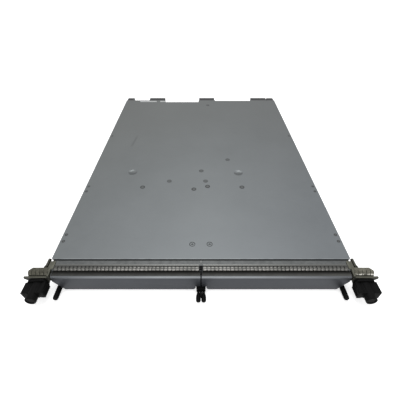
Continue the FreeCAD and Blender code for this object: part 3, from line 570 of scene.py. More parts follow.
def pick(kind, wanted):
    """Selects just the faces, edges or points that pass a test."""
    data = bpy.context.edit_object.data
    bpy.ops.mesh.select_mode(type=kind)
    bpy.ops.mesh.select_all(action="DESELECT")
    mesh = bmesh.from_edit_mesh(data)
    parts = {"FACE": mesh.faces, "EDGE": mesh.edges, "VERT": mesh.verts}[kind]
    for part in parts:
        if wanted(part):
            part.select_set(True)
    mesh.select_flush_mode()
    bmesh.update_edit_mesh(data)


faces, edges, points = [partial(pick, kind) for kind in ("FACE", "EDGE", "VERT")]


def within(axis, low, high):
    """Test: every corner lies between two places along one axis."""
    return lambda part: all(low < corner.co[axis] / MM < high for corner in corners(part))


def at(axis, place):
    """Test: every corner lies at a place along one axis."""
    return within(axis, place - NEAR, place + NEAR)


def along(axis):
    """Test: an edge runs along one axis."""
    def test(edge):
        run = edge.verts[1].co - edge.verts[0].co
        return abs(run[axis]) > 0.99 * run.length
    return test


def facing(x=0, y=0, z=0):
    """Test: a face looks along a direction."""
    return lambda face: face.normal.dot(Vector((x, y, z))) > 0.95


def extrude(x=0, y=0, z=0):
    bpy.ops.mesh.extrude_region_move(TRANSFORM_OT_translate={"value": tuple(metres((x, y, z)))})


def inset(width):
    bpy.ops.mesh.inset(thickness=width * MM)


def bevel(wanted, width, segments=3):
    """Rounds the edges that pass a test."""
    edges(wanted)
    bpy.ops.mesh.bevel(offset=width * MM, segments=segments, affect="EDGES")


def dish(direction, rim, depth):
    """Sinks the faces that look along a direction, inside a rim."""
    faces(facing(*direction))
    inset(rim)
    extrude(*[-depth * share for share in direction])


def stretch(middle=(0, 0, 0), x=1, y=1, z=1):
    """Scales what is selected about a point."""
    bpy.ops.transform.resize(value=(x, y, z), center_override=metres(middle))


def select_all():
    bpy.ops.mesh.select_all(action="SELECT")


def bisect(place, normal, **settings):
    """Cuts the whole mesh by a plane."""
    select_all()
    bpy.ops.mesh.bisect(plane_co=metres(place), plane_no=normal, **settings)


def slice_at(axis, *places):
    """Cuts the whole mesh across an axis at places."""
    normal = Vector([float(index == axis) for index in range(3)])
    for place in places:
        bisect(normal * place, normal)


def close_up():
    """Merges points that lie together and turns all faces outwards."""
    select_all()
    bpy.ops.mesh.remove_doubles(threshold=MERGE * MM)
    bpy.ops.mesh.normals_make_consistent(inside=False)


def work(piece, tool, **settings):
    """Adds a modifier and applies it."""
    select_only(piece)
    modifier = piece.modifiers.new(tool.lower(), tool)
    for name, value in settings.items():
        setattr(modifier, name, value)
    bpy.ops.object.modifier_apply(modifier=modifier.name)


def cut(piece, cutter):
    """Takes the shape of a cutter out of a piece."""
    work(piece, "BOOLEAN", operation="DIFFERENCE", object=cutter, solver="EXACT")
    bpy.data.objects.remove(cutter)


def cross_recess(screw, arms, low, high, x=0.0, y=0.0):
    """Cuts a cross for a driver into a screw's head: arms of half a run and half a width."""
    for run, width in arms:
        cut(screw, slab("cross_cutter", run, y - width, y + width, low, high, x))


def repeat(piece, count, step, **settings):
    """Repeats a piece in a row."""
    work(piece, "ARRAY", count=count, use_relative_offset=False, use_constant_offset=True,
         constant_offset_displace=metres(step), **settings)


def soften(piece, width, segments=2):
    """Rounds the sharp edges of a piece."""
    work(piece, "BEVEL", width=width * MM, segments=segments, limit_method="ANGLE", angle_limit=SHARP_ANGLE)


def join(piece, *others):
    """Makes one piece of several."""
    select_only(piece)
    for other in others:
        other.select_set(True)
    bpy.ops.object.join()
    return piece


def twin(piece, name, place, turn=(0, 0, 0)):
    """Copy with its own mesh, moved and turned."""
    select_only(piece)
    bpy.ops.object.duplicate()
    copy = bpy.context.object
    copy.name = copy.data.name = name
    return settle(copy, place, turn)


def set_out(piece, name, places, turn=(0, 0, 0)):
    """One piece of copies of a part that stand at places."""
    return join(*[twin(piece, name, place, turn) for place in places])


def dress(piece, slot, body="module", finish=None):
    """Gives a shaped piece its shading, the finish of its slot unless another is given, and its body."""
    select_only(piece)
    bpy.ops.object.shade_smooth_by_angle(angle=SMOOTH_ANGLE)
    if not piece.data.materials:
        piece.data.materials.append(finish or FINISHES[slot])
    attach(piece, body)
    return piece


# Spring-finger gaskets: (y, z) of the curl's axis, its radius, and its turns from the level rear direction
GASKET_CURL = {"axis": (FRONT - 12.22, 28.1), "radius": 3.22, "turns": (34, 176), "root": 12, "gap": 0.8}
HOOD_CURL = {"axis": (FRONT - 14.5, 24.5), "radius": 6.36, "turns": (90, 158), "root": 8, "gap": 1.0}
NECK_TURN, CURL_STEPS = 4, 10
FINGER_CROWN, FINGER_SHEET, HOOD_CORNER_CUT = 0.12, 0.4, 4.6


def turned(turn):
    """Direction in the (y, z) plane at a turn from the level rear direction."""
    return Vector((cos(radians(turn)), sin(radians(turn))))


def finger_strip(name, low, high, count, axis, radius, turns, root, gap):
    """Open strip of curled fingers: one shaped from a flat cell of sheet, then repeated along X."""
    first, last = turns
    pitch = (high.x - low.x) / count
    middle = low.x + pitch / 2
    rest = turned(first) * radius + Vector(axis)
    strip = sheet(name, (low.x, rest.x), (low.x + pitch, high.y), rest.y)
    curl = {"center": metres((middle, *axis)), "axis": (-1, 0, 0)}
    neck = first + root + NECK_TURN

    def at_neck(part):
        places = [corner.co / MM for corner in corners(part)]
        turns = [atan2(place.z - axis[1], place.y - axis[0]) for place in places]
        return all(abs(degrees(turn) - neck) < 0.5 for turn in turns)

    with editing(strip):
        edges(along(0))
        bpy.ops.mesh.subdivide(number_cuts=2)
        edges(at(1, rest.x))
        bpy.ops.mesh.spin(steps=2, angle=radians(root), **curl)
        bpy.ops.mesh.spin(steps=1, angle=radians(NECK_TURN), **curl)
        stretch((middle, 0, 0), x=1 - gap / pitch)
        points(lambda point: at_neck(point) and abs(point.co.x / MM - middle) < pitch / 4)
        bpy.ops.transform.translate(value=metres((0, *turned(neck))) * FINGER_CROWN)
        edges(at_neck)
        bpy.ops.mesh.spin(steps=CURL_STEPS, angle=radians(last - neck), **curl)
        close_up()
        if bmesh.from_edit_mesh(strip.data).faces[:][0].normal.z < 0:
            bpy.ops.mesh.flip_normals()
    repeat(strip, count, (pitch, 0, 0), use_merge_vertices=True, merge_threshold=NEAR * MM)
    return strip


def thicken(strip):
    """Gives an open strip the thickness of its sheet."""
    work(strip, "SOLIDIFY", thickness=FINGER_SHEET * MM, offset=-1)


def gasket_strips():
    """Long gaskets over the frame's front edge and short ones round the brackets' hoods."""
    for name, side in SIDES:
        ends = box(f"gasket_strip_{name}")
        strip = finger_strip(f"gasket_fingers_{name}", *ends, GASKET_FINGERS, **GASKET_CURL)
        thicken(strip)
        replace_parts(dress(strip, "spring_strip"), f"gasket_strip_{name}")
        low, high = box(f"bracket_gasket_{name}")
        hood = finger_strip(f"hood_fingers_{name}", low, high, HOOD_FINGERS, **HOOD_CURL)
        outer = high.x if side > 0 else low.x
        with editing(hood):
            bisect((outer - side * HOOD_CORNER_CUT, high.y, 0), (side, 1, 0), clear_outer=True)
        thicken(hood)
        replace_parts(dress(hood, "spring_strip", finish=HOOD_STRIP), f"bracket_gasket_{name}")


# Jackscrews
JACK_X, JACK_Z = 196.5, 16.5
JOURNAL_RADIUS, JOURNAL_END = 3.2, FRONT - 19.8
THREAD_RADIUS, THREAD_CORE, THREAD_PITCH = 3.0, 2.5, 1.0
THREAD_FOOT, THREAD_CREST, THREAD_STEPS = 0.84 * THREAD_PITCH, 0.25, 16
POINT_RADIUS, POINT_START, POINT_END = 2.1, FRONT + 0.1, FRONT + 11.0


def thread_ridge(length):
    """Helical ridge along Y from the origin: an edge loop with a narrow crest, wound up."""
    inner, outer = THREAD_CORE - 0.05, THREAD_RADIUS
    ridge = sheet("thread_ridge", (inner, -THREAD_FOOT / 2), (outer, THREAD_FOOT / 2), 0)
    with editing(ridge):
        edges(at(0, outer))
        stretch(y=THREAD_CREST)
        faces(lambda face: True)
        bpy.ops.mesh.delete(type="ONLY_FACE")
    work(ridge, "SCREW", axis="Y", angle=2 * pi, steps=THREAD_STEPS, render_steps=THREAD_STEPS,
         screw_offset=THREAD_PITCH * MM, iterations=int(length / THREAD_PITCH) - 1)
    with editing(ridge):
        select_all()
        bpy.ops.mesh.fill_holes(sides=4)
        close_up()
    return ridge


def jackscrew_spindles():
    """Stepped spindles with a cut thread and a pilot point."""
    for name, side in SIDES:
        low, _ = box(f"jackscrew_spindle_{name}")
        spindle = bar(f"threaded_spindle_{name}", side * JACK_X, JACK_Z, JOURNAL_RADIUS, low.y, JOURNAL_END)
        with editing(spindle):
            faces(facing(y=1))
            inset(JOURNAL_RADIUS - THREAD_CORE)
            extrude(y=POINT_START - JOURNAL_END)
            inset(THREAD_CORE - POINT_RADIUS)
            extrude(y=POINT_END - POINT_START)
            bevel(at(1, POINT_END), 0.9, 4)
            bevel(at(1, JOURNAL_END), 0.15, 1)
        ridge = thread_ridge(POINT_START - JOURNAL_END)
        settle(ridge, (side * JACK_X, JOURNAL_END + 0.6 * THREAD_PITCH, JACK_Z))
        join(spindle, ridge)
        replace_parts(dress(spindle, "spindle_steel", f"jackscrew_{name}"), f"jackscrew_spindle_{name}")


# Wing knobs of the jackscrews, with the wings' waist as (share of the half width, share of the height)
KNOB_FRONT, WING_FRONT = FRONT - 49.0, FRONT - 41.4
SKIRT_FRONT, KNOB_BACK = FRONT - 27.0, FRONT - 24.6
GRIP_BACK = SKIRT_FRONT + 0.3
HUB_RADIUS, HUB_RIM, HUB_DISH = 6.4, 1.7, 0.9
WING_HALF, WING_HALF_HEIGHT, WING_CUTS = 12.9, 5.9, 15
WING_END_RIM, WING_END_DISH, WING_ROUND = 2.2, 0.5, 1.1
SKIRT_HALF, SKIRT_HALF_HEIGHT, SKIRT_CORNER = 11.8, 8.4, 5.4
WAIST = ((0, 0.78), (1 / 4, 0.78), (1 / 2, 0.8), (5 / 8, 0.93), (6 / 8, 1.0))
REST_TURN = {"left": radians(-7), "right": 0}


def knob_wings():
    """Two grips waisted towards the hub, all edges rounded."""
    wings = slab("knob_wings", WING_HALF, WING_FRONT, GRIP_BACK, -WING_HALF_HEIGHT, WING_HALF_HEIGHT)
    with editing(wings):
        edges(along(0))
        bpy.ops.mesh.subdivide(number_cuts=WING_CUTS)
        for place, share in WAIST:
            for x in {place * WING_HALF, -place * WING_HALF}:
                points(at(0, x))
                stretch(z=share)
        for side in (1, -1):
            dish((side, 0, 0), WING_END_RIM, WING_END_DISH)
    soften(wings, WING_ROUND, segments=3)
    return wings


def knob_hub():
    """Round hub with a rolled front rim and a shallow dished cap."""
    hub = bar("knob_hub", 0, 0, HUB_RADIUS, KNOB_FRONT, GRIP_BACK, sides=48)
    with editing(hub):
        dish((0, -1, 0), HUB_RIM, HUB_DISH)
        inset(0.5)
        bevel(at(1, KNOB_FRONT), 0.7, 4)
    return hub


def knob_skirt():
    """Flat back with rounded corners and a softened rim."""
    skirt = slab("knob_skirt", SKIRT_HALF, SKIRT_FRONT, KNOB_BACK, -SKIRT_HALF_HEIGHT, SKIRT_HALF_HEIGHT)
    with editing(skirt):
        bevel(along(1), SKIRT_CORNER, 6)
        bevel(at(1, SKIRT_FRONT), 0.6)
    return skirt


def wing_knobs():
    """Moulded wing knobs, the left one left a little turned."""
    knob = join(knob_wings(), knob_hub(), knob_skirt())
    for name, side in SIDES:
        copy = twin(knob, f"wing_knob_{name}", (side * JACK_X, 0, JACK_Z), (0, REST_TURN[name], 0))
        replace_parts(dress(copy, "knob_plastic", f"jackscrew_{name}"), f"jackscrew_knob_{name}")
    bpy.data.objects.remove(knob)


# Captive screws: (distance from the free end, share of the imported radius) along each kind of grip
GRIP_SIDES = 32
GRIP_SHAPES = {
    "inner": ((0.0, 0.6), (0.5, 0.75), (1.3, 0.87), (3.0, 0.9), (6.0, 0.89), (8.0, 0.8), (10.0, 0.63),
              (11.6, 0.54)),
    "outer": ((0.0, 0.62), (0.5, 0.8), (1.3, 0.94), (2.4, 1.0), (18.0, 1.0), (18.5, 0.92)),
}
FLUTES = {"inner": (1.6, 8.4), "outer": (2.6, 17.6)}
FLUTE_RIM, FLUTE_DEPTH = 0.05, 0.22
SLOT_HALF, SLOT_HALF_WIDTH, SLOT_DEPTH = 2.4, 0.4, 1.1


def captive_knob(name, low, high, shape, flutes):
    """Slim fluted grip turned to a shape, with a slimmer neck and a driver slot."""
    x, _, z = (low + high) / 2
    grip = bar(name, x, z, (high.x - low.x) / 2, low.y, high.y, GRIP_SIDES)
    front, back = [low.y + reach for reach in flutes]

    def flute(face):
        middle = middle_of(face)
        index = int((atan2(middle.z - z, middle.x - x) + pi) / (2 * pi) * GRIP_SIDES)
        return front < middle.y < back and index % 2 == 0

    with editing(grip):
        slice_at(1, front, back)
        faces(flute)
        bpy.ops.mesh.inset(thickness=FLUTE_RIM * MM, depth=-FLUTE_DEPTH * MM, use_individual=True)
        starts = [low.y + reach for reach, _ in shape]
        slice_at(1, *starts[1:])
        for first, last, (_, share) in zip(starts, starts[1:] + [high.y + 1], shape):
            points(within(1, first - NEAR / 2, last - NEAR / 2))
            stretch((x, low.y, z), x=share, z=share)
        for end in (low.y, high.y):
            bevel(at(1, end), 0.3, 2)
    cut(grip, slab("slot_cutter", SLOT_HALF, low.y - 1, low.y + SLOT_DEPTH, z - SLOT_HALF_WIDTH,
                   z + SLOT_HALF_WIDTH, x))
    return grip


def captive_knobs():
    """Grips of the four captive screws."""
    for name, _ in SIDES:
        for place, shape in GRIP_SHAPES.items():
            node = f"captive_knob_{place}_{name}"
            grip = captive_knob(f"captive_grip_{place}_{name}", *box(node), shape, FLUTES[place])
            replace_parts(dress(grip, "captive_black", f"captive_screw_{place}_{name}"), node)


# Bearing of the inner screws, black so that it also stands in for the shade in the fillers' notches, and its
# web, which stands in for the shade between the grips, as (distance before the front edge, half width)
BEARING_HALF, BEARING_TAPER, BEARING_BORE = 6.3, 0.88, 1.95
BEARING_FRONT, BEARING_BACK, BEARING_LOW, BEARING_TOP = FRONT - 28.0, FRONT - 16.25, 2.6, 7.6
WEB_SHAPE = ((27.5, 1.45), (31.0, 1.42), (32.5, 1.15), (34.5, 0.62), (37.0, 0.3))
WEB_LOW, WEB_TOP, WEB_AXIS = 2.2, 6.2, 3.4


def bearing_and_notch_shade():
    """Black block in the fillers' notches, with a bore for each inner screw and a web between the grips;
    block and web also stand in for the shade in the notches and between the grips.
    """
    low, high = box("captive_knob_inner_right")
    x, _, z = (low + high) / 2
    bearing = slab("bearing_and_notch_shade", BEARING_HALF, BEARING_FRONT, BEARING_BACK, BEARING_LOW, BEARING_TOP)
    with editing(bearing):
        faces(facing(y=-1))
        stretch(x=BEARING_TAPER)
    for _, side in SIDES:
        cut(bearing, bar("bore_cutter", side * x, z, BEARING_BORE, BEARING_FRONT - 1, BEARING_BACK + 1.25))
    places = [FRONT - reach for reach, _ in WEB_SHAPE]
    web = slab("grip_gap_shade_web", 1, places[-1], places[0], WEB_LOW, WEB_TOP)
    with editing(web):
        slice_at(1, *places[1:-1])
        for place, (_, half) in zip(places, WEB_SHAPE):
            points(at(1, place))
            stretch((0, 0, WEB_AXIS), x=half, z=min(half, 1))
    join(bearing, web)
    soften(bearing, 0.25)
    dress(bearing, "captive_black")


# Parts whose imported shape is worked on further
TAB_SIDES, TAB_DEPTH, TAB_LOW, TAB_TOP = (186.0, 188.5), 12.0, 26.0, 32.0


def copy_of_node(node, name):
    """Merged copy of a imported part, with its flat faces made whole."""
    piece = bpy.data.objects.new(name, frame["nodes"][node].data.copy())
    bpy.context.scene.collection.objects.link(piece)
    with editing(piece):
        select_all()
        bpy.ops.mesh.remove_doubles(threshold=2 * MERGE * MM)
        bpy.ops.mesh.dissolve_limited(angle_limit=radians(1))
    return piece


def end_castings():
    """End brackets with the soft edges of a casting, and the tab cut back beside the spindle."""
    for name, side in SIDES:
        casting = copy_of_node(f"end_bracket_{name}", f"end_casting_{name}")
        low, high = sorted(side * x for x in TAB_SIDES)
        cut(casting, block("tab_cutter", (low, FRONT - TAB_DEPTH, TAB_LOW), (high, FRONT, TAB_TOP)))
        soften(casting, 0.3)
        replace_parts(dress(casting, "bracket_casting"), f"end_bracket_{name}")


def filler_pans():
    """Filler panels with their bends shaded smooth and their cut edges broken."""
    for name, _ in SIDES:
        pan = copy_of_node(f"bay_filler_{name}", f"filler_pan_{name}")
        soften(pan, 0.12)
        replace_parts(dress(pan, "filler_sheet"), f"bay_filler_{name}")


# Black foam between the fillers and the frame, which stands in for the shade in the gaps there
FOAM_FRONT, FOAM_BACK, FOAM_LOW, FOAM_TOP = FRONT - 20.3, FRONT - 15.7, 20.0, 28.5
LIP_REACH, LIP_THICK, FOAM_INSET = 2.0, 0.65, 0.5
MIDDLE_FRONT, MIDDLE_LOW, MIDDLE_HALF = FRONT - 22.4, 8.4, 0.7
CAP_LOW, CAP_TOP, CAP_HALF, CAP_TAPER = 27.4, FOAM_TOP - 0.05, 1.2, 0.5


def shade_foam_seals():
    """Black foam between each filler's top return and the frame, with a thin lip over the return, and a black
    strip between the fillers: dark pieces that stand in for the shade in these gaps.
    """
    lip_low = FOAM_TOP - LIP_THICK
    for name, _ in SIDES:
        low, high = box(f"bay_filler_{name}")
        # Black foam standing in for the shade behind the filler's top.
        seal = block(f"foam_seal_{name}", (low.x + FOAM_INSET, FOAM_FRONT, FOAM_LOW),
                     (high.x - FOAM_INSET, FOAM_BACK, FOAM_TOP))
        with editing(seal):
            slice_at(2, lip_low)
            faces(lambda face: facing(y=-1)(face) and middle_of(face).z > lip_low)
            extrude(y=-LIP_REACH)
            bevel(lambda edge: at(2, FOAM_TOP)(edge) and along(0)(edge), 0.3)
        dress(seal, "guide_plastic", finish=SHADE_FOAM)
    # A black strip and cap between the two fillers, standing in for the shade in the gap between them.
    middle = slab("shade_foam_middle", MIDDLE_HALF, MIDDLE_FRONT, FOAM_BACK, MIDDLE_LOW, CAP_LOW + 0.2)
    cap = slab("shade_foam_cap", CAP_HALF, MIDDLE_FRONT, FOAM_BACK, CAP_LOW, CAP_TOP)
    with editing(cap):
        faces(facing(z=-1))
        stretch(x=CAP_TAPER)
    join(middle, cap)
    soften(middle, 0.15)
    dress(middle, "guide_plastic", finish=FINISHES["knob_plastic"])


# Fixings that show in the cover: (x, distance behind the front edge)
STANDOFFS = (
    (-94.0, 143.0), (66.5, 143.0), (11.0, 145.0), (-11.0, 138.0), (8.0, 159.0),
    (-52.0, 159.0), (1.0, 188.0), (49.0, 223.0), (17.5, 464.0),
)
FAINT_STANDOFFS = (5, 6, 7, 8)
DIVIDER_SCREWS = ((-11.3, 24.0), (11.3, 24.0))
DIVIDER_CROSS = ((1.6, 0.6), (0.45, 1.3))
EDGE_SCREW_X = 181.4
EDGE_SCREW_ROWS = (29.0, 40.5, 132.5, 145.0, 311.0)
FIXING_RADIUS, EDGE_SCREW_RADIUS = 4.1, 2.3
RING_LIP, RING_STUB, GROOVE_BAND = 0.3, 0.6, (1.9, 0.2)
RIVET_Y, RIVET_RADIUS, RIVET_LOW, RIVET_TOP = FRONT - 3.0, 1.9, 29.3, 30.1


def paint(piece, finishes, index_of):
    """Gives a piece several finishes, by a rule on its faces."""
    for finish in finishes:
        piece.data.materials.append(finish)
    for face in piece.data.polygons:
        face.material_index = index_of(face)


def sink_ring(piece, lip, groove, depth):
    """Sinks a ring into the top of a stub, inside a lip."""
    with editing(piece):
        dish((0, 0, 1), lip, depth)
        inset(groove)
        extrude(z=depth)


def ring_mark(name, spot, radius, level, groove, depth, face="fastener_steel", shade_finish=GROOVE_SHADE):
    """Round end of a fixing, with painted shade in the groove inside its lip, and a flat middle."""
    mark = stub(name, spot[0], FRONT + spot[1], radius, level - RING_STUB, level)
    sink_ring(mark, RING_LIP, groove, depth)
    low, high = [level - share * depth for share in GROOVE_BAND]
    paint(mark, (FINISHES[face], shade_finish), lambda part: int(low < part.center.z / MM < high))
    return mark


def cover_fixings():
    """Ends of the standoffs, cross-head screws of the divider, a rivet, and screws along the rails."""
    for number, spot in enumerate(STANDOFFS, 1):
        # Painted shade in the groove, fainter on some standoffs.
        shade_finish = FAINT_GROOVE_SHADE if number in FAINT_STANDOFFS else GROOVE_SHADE
        mark = ring_mark(f"standoff_end_{number}", spot, FIXING_RADIUS, TOP + 0.1, groove=1.3, depth=0.08,
                         shade_finish=shade_finish)
        dress(mark, "fastener_steel")
    heads = []
    for number, spot in enumerate(DIVIDER_SCREWS, 1):
        head = ring_mark(f"divider_screw_{number}", spot, FIXING_RADIUS, TOP - 0.05, groove=0.8, depth=0.4,
                         face="cover_sheet")
        cross_recess(head, DIVIDER_CROSS, TOP - 0.9, TOP + 1, spot[0], FRONT + spot[1])
        heads.append(dress(head, "fastener_steel"))
    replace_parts(join(*heads), "cover_screws")
    rivet = stub("frame_rivet", 0, RIVET_Y, RIVET_RADIUS, RIVET_LOW, RIVET_TOP)
    with editing(rivet):
        bevel(at(2, RIVET_TOP), 0.45)
    # Painted glint: the rivet gets a lighter metal than the other fasteners.
    dress(rivet, "fastener_steel", finish=RIVET_GLINT_METAL)
    for name, side in SIDES:
        for number, row in enumerate(EDGE_SCREW_ROWS, 1):
            spot = (side * EDGE_SCREW_X, row)
            mark = ring_mark(f"rail_screw_{name}_{number}", spot, EDGE_SCREW_RADIUS, TOP + 0.12, groove=0.9,
                             depth=0.1)
            dress(mark, "fastener_steel")


# Flush screws in the rails' outer faces, at distances behind the front edge
RAIL_SIDE_ROWS = (26, 86, 205, 330, 450)
RAIL_SIDE_HEIGHT, RAIL_SIDE_RADIUS = 23.5, 3.1
RAIL_SIDE_CROSS = ((1.5, 0.3), (0.3, 1.5))


def rail_side_screws():
    """Flush cross-head screws, modelled upright and turned into the rails' sides."""
    screw = stub("rail_side_screw", 0, 0, RAIL_SIDE_RADIUS, -0.9, 0.06)
    sink_ring(screw, RING_LIP, groove=0.25, depth=0.25)
    cross_recess(screw, RAIL_SIDE_CROSS, -0.6, 0.5)
    for name, side in SIDES:
        low, high = box(f"side_rail_{name}")
        face = high.x if side > 0 else low.x
        places = [(face, FRONT + row, RAIL_SIDE_HEIGHT) for row in RAIL_SIDE_ROWS]
        screws = set_out(screw, f"rail_side_screws_{name}", places, (0, side * pi / 2, 0))
        dress(screws, "fastener_steel")
    bpy.data.objects.remove(screw)


# Blank film strips at the cover's rear edge: (from x, to x), and distances behind the front edge
FILM_STRIPS = ((-151.0, -110.0), (-101.0, -88.5))
FILM_NEAR, FILM_FAR, FILM_THICK = 483.5, 489.5, 0.12


def film_strips():
    """Two thin pale strips stuck on the cover, with rounded corners."""
    for number, (low, high) in enumerate(FILM_STRIPS, 1):
        film = sheet(f"blank_film_{number}", (low, FRONT + FILM_NEAR), (high, FRONT + FILM_FAR), TOP)
        with editing(film):
            faces(facing(z=1))
            extrude(z=FILM_THICK)
            bevel(along(2), 0.8, 4)
            close_up()
        dress(film, "cover_sheet", finish=PALE_FILM)


# Contacts of the rear connectors
CONNECTOR_SLOTS = 9
WAFER_STEPS = 15
WAFER_HALF, WAFER_MARGIN, TIP_REACH = 0.3, 3.2, 2.2
WAFER_BACK, WAFER_FRONT = 8.8, 3.6


def contact_wafers():
    """A gold wafer with contact tips in each slot of the rear connectors."""
    for place in ("left", "middle", "right"):
        low, high = box(f"backplane_connector_{place}")
        pitch = (high.x - low.x) / CONNECTOR_SLOTS
        x, foot, head = low.x + pitch / 2, low.z + WAFER_MARGIN, high.z - WAFER_MARGIN
        wafer = slab(f"contact_wafers_{place}", WAFER_HALF, high.y - WAFER_BACK, high.y - WAFER_FRONT,
                     foot, head, x)

        def tip(face):
            step = int((middle_of(face).z - foot) / (head - foot) * WAFER_STEPS)
            return facing(y=1)(face) and step % 2 == 0

        with editing(wafer):
            edges(along(2))
            bpy.ops.mesh.subdivide(number_cuts=WAFER_STEPS - 1)
            faces(tip)
            extrude(y=TIP_REACH)
        soften(wafer, 0.1)
        repeat(wafer, CONNECTOR_SLOTS, (pitch, 0, 0))
        dress(wafer, "bush_brass", finish=CONTACT_GOLD)


# Small parts on the board's underside, modelled under the origin and set out at places in plan
BOARD_UNDER = box("main_board")[0].z
CAN_PLACES = [(x, 215) for x in (-130, -119, -108, -97, -86, -75, 38, 49, 60, 71, 82, 93)]
CAN_RADIUS, CAN_END, CAN_GROOVE, CAN_WAIST = 4.0, -9.4, (-1.6, -2.2, -2.8), 0.88
FOOT_HALF, FOOT_THICK = 4.2, 1.2
CHOKE_PLACES = ((-58, 178), (-58, 196), (110, 178), (110, 196), (-146, 178), (-146, 196))
CHOKE_HALF, CHOKE_END = 6.0, -6.8
PACK_PLACES = ((-100, -72), (-55, -72), (0, -72), (55, -72), (100, -72), (0, 160), (0, 190), (0, 218))
PACK_HALF, PACK_WAIST, PACK_RISE, PACK_DRAFT = 8.0, -1.1, 0.9, 0.96
LEADS, LEAD_PITCH, LEAD_FIRST, LEAD_WIDTH = 13, 1.2, -7.4, 0.4
CERAMIC_PLACES = ((-25.2, 38.0), (-25.2, -62.0))
CERAMIC_ROWS = ((15, (3.6, 0, 0)), (4, (0, 3.2, 0)))
CERAMIC_HALF, CERAMIC_HALF_WIDTH, PLATED_FROM, PLATED_SWELL = 1.1, 0.65, 0.6, 1.08
HEAT_SINKS = ("front_left", "front_right", "rear_left", "rear_right")
SINK_ASIDE, SINK_IN = 5.5, 9.0
SINK_RADIUS, SINK_END, WASHER_RADIUS, WASHER_THICK = 2.9, -2.6, 3.9, 0.6
SINK_CROSS = ((1.6, 0.35), (0.35, 1.6))


def hang(piece, places, slot):
    """Sets out copies of a part on the board's underside, and makes them one piece."""
    name = piece.name
    copies = set_out(piece, f"{name}_copy", [(x, y, BOARD_UNDER) for x, y in places])
    bpy.data.objects.remove(piece)
    copies.name = copies.data.name = name
    dress(copies, slot)


def can_capacitors():
    """Aluminium cans with a rolled groove and a vented end, on square feet with two cut corners."""
    can = stub("can_capacitors", 0, 0, CAN_RADIUS, CAN_END, -0.6)
    with editing(can):
        slice_at(2, *CAN_GROOVE)
        points(at(2, CAN_GROOVE[1]))
        stretch(x=CAN_WAIST, y=CAN_WAIST)
        dish((0, 0, -1), 0.7, 0.2)
        bevel(at(2, CAN_END), 0.3)
    can.data.materials.append(FINISHES["sink_aluminium"])
    foot = slab("can_foot", FOOT_HALF, -FOOT_HALF, FOOT_HALF, -FOOT_THICK, 0)
    with editing(foot):
        bevel(lambda edge: along(2)(edge) and edge.verts[0].co.x > 0, 1.3, 1)
    foot.data.materials.append(FINISHES["chip_plastic"])
    hang(join(can, foot), CAN_PLACES, "sink_aluminium")


def power_chokes():
    """Moulded chokes with round corners and a dished face."""
    choke = slab("power_chokes", CHOKE_HALF, -CHOKE_HALF, CHOKE_HALF, CHOKE_END, 0)
    with editing(choke):
        bevel(along(2), 1.5, 4)
        dish((0, 0, -1), 1.0, 0.25)
        bevel(at(2, CHOKE_END), 0.3, 2)
    hang(choke, CHOKE_PLACES, "converter_plastic")


def flat_packs():
    """Square chips with drafted sides and a row of bent leads along each side."""
    half, waist = PACK_HALF, PACK_WAIST
    chip = slab("flat_packs", half, -half, half, waist - PACK_RISE, waist + PACK_RISE)
    with editing(chip):
        slice_at(2, waist)
        faces(lambda face: abs(face.normal.z) > 0.95)
        stretch(x=PACK_DRAFT, y=PACK_DRAFT)
        bevel(lambda edge: abs((edge.verts[1].co - edge.verts[0].co).z) > 0.5 * MM, 0.5, 1)
    chip.data.materials.append(FINISHES["chip_plastic"])
    lead = block("chip_lead", (half - 0.4, LEAD_FIRST, waist - 0.1),
                 (half + 0.6, LEAD_FIRST + LEAD_WIDTH, waist + 0.1))
    with editing(lead):
        faces(facing(x=1))
        extrude(x=0.3, z=0.95)
        extrude(x=0.8, z=0.03)
    repeat(lead, LEADS, (0, LEAD_PITCH, 0))
    lead.data.materials.append(FINISHES["fastener_steel"])
    rows = [twin(lead, "chip_leads", (0, 0, 0), (0, 0, turn * pi / 2)) for turn in range(4)]
    bpy.data.objects.remove(lead)
    hang(join(chip, *rows), PACK_PLACES, "chip_plastic")


def chip_capacitors():
    """A field of small ceramic blocks with plated ends."""
    half, width = CERAMIC_HALF, CERAMIC_HALF_WIDTH
    chip = slab("chip_capacitors", half, -width, width, -half, 0)
    with editing(chip):
        for _, side in SIDES:
            slice_at(0, side * PLATED_FROM)
            points(at(0, side * half))
            stretch(y=PLATED_SWELL)
        bevel(lambda edge: at(0, half)(edge) or at(0, -half)(edge), 0.12, 1)
    finishes = (TAN_CERAMIC, FINISHES["fastener_steel"])
    paint(chip, finishes, lambda face: int(abs(face.center.x) > PLATED_FROM * MM))
    for count, step in CERAMIC_ROWS:
        repeat(chip, count, step)
    hang(chip, CERAMIC_PLACES, "chip_plastic")


def sink_screws():
    """Pan-head screws with a cross recess beside the heat sinks, each on a washer."""
    screw = stub("sink_screws", 0, 0, SINK_RADIUS, SINK_END, -0.5)
    with editing(screw):
        bevel(at(2, SINK_END), 0.8)
    cross_recess(screw, SINK_CROSS, SINK_END - 0.4, SINK_END + 0.9)
    washer = stub("screw_washer", 0, 0, WASHER_RADIUS, -WASHER_THICK, 0)
    with editing(washer):
        bevel(at(2, -WASHER_THICK), 0.15, 2)
    places = []
    for corner in HEAT_SINKS:
        low, high = box(f"heat_sink_{corner}")
        for x in (low.x - SINK_ASIDE, high.x + SINK_ASIDE):
            places += [(x, low.y + SINK_IN), (x, high.y - SINK_IN)]
    hang(join(screw, washer), places, "fastener_steel")


# Studio
FLOOR_SIDE = 6000
FLOOR_DROP = 0.2
FLOOR_GLOW = 0.62
SKY_LIGHT = 0.7


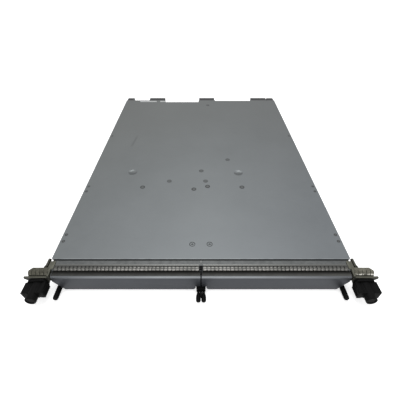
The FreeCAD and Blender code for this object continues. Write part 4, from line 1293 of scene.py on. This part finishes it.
def floor():
    """Plain white floor that glows a little, but not under the module."""
    plane = start("studio_floor", bpy.ops.mesh.primitive_plane_add, size=FLOOR_SIDE * MM,
                  location=metres((0, 0, -FLOOR_DROP)))
    f = Finish("floor_white", Roughness=0.9, Emission_Strength=FLOOR_GLOW)
    aside = f.span(abs(f.aside), HALF_WIDTH - 40, HALF_WIDTH - 8)
    before = 1 - f.span(f.behind, -20, 0)
    behind = f.span(f.behind, LENGTH - 30, LENGTH)
    glow = f.blend(f.seen() * (aside | before | behind), (0, 0, 0), (255, 255, 255))
    colour = f.blend(f.noise(30), (228.5, 228.5, 228.5), (233.6, 233.6, 233.6))
    plane.data.materials.append(f.set(Base_Color=colour, Emission_Color=glow))


def world():
    """Even white surroundings: white to the camera, and softer as light."""
    studio = bpy.data.worlds.new("studio")
    studio.use_nodes = True
    background = studio.node_tree.nodes["Background"]
    background.inputs["Color"].default_value = (1, 1, 1, 1)
    sky = Backdrop(studio.node_tree)
    sky.feed(background.inputs["Strength"], SKY_LIGHT + (1 - SKY_LIGHT) * sky.seen())
    bpy.context.scene.world = studio


def stand(name, data, place):
    """Puts a lamp or a camera in the scene."""
    holder = bpy.data.objects.new(name, data)
    holder.location = metres(place)
    bpy.context.scene.collection.objects.link(holder)
    return holder


def softbox(name, place, aim, size, power):
    """One rectangular soft light aimed at a point."""
    lamp = bpy.data.lights.new(name, "AREA")
    lamp.shape = "RECTANGLE"
    lamp.size, lamp.size_y = [side * MM for side in size]
    lamp.energy = power
    holder = stand(name, lamp, place)
    holder.rotation_euler = (Vector(aim) - Vector(place)).to_track_quat("-Z", "Y").to_euler()
    holder.visible_camera = False


def camera():
    """The photograph's camera: in front of the module, above it, tilted down and not turned."""
    view = bpy.data.cameras.new("photo_camera")
    view.sensor_width = SENSOR
    view.lens = SENSOR * FOCAL_PIXELS / IMAGE_SIDE
    view.clip_start = CLIP_START * MM
    holder = stand("photo_camera", view, CAMERA_PLACE)
    holder.rotation_euler = (pi / 2 - CAMERA_DOWN, 0, 0)
    bpy.context.scene.camera = holder


bpy.context.scene.view_settings.view_transform = "Standard"
finish_nodes()
gasket_strips()
jackscrew_spindles()
wing_knobs()
captive_knobs()
bearing_and_notch_shade()
end_castings()
filler_pans()
shade_foam_seals()
cover_fixings()
rail_side_screws()
film_strips()
contact_wafers()
can_capacitors()
power_chokes()
flat_packs()
chip_capacitors()
sink_screws()
floor()
world()
softbox("overhead_softbox", place=(0, 100, 1300), aim=(0, 0, 0), size=(700, 700), power=8)
softbox("front_softbox", place=(0, -1600, 420), aim=(0, FRONT, 0), size=(1200, 250), power=5)
camera()
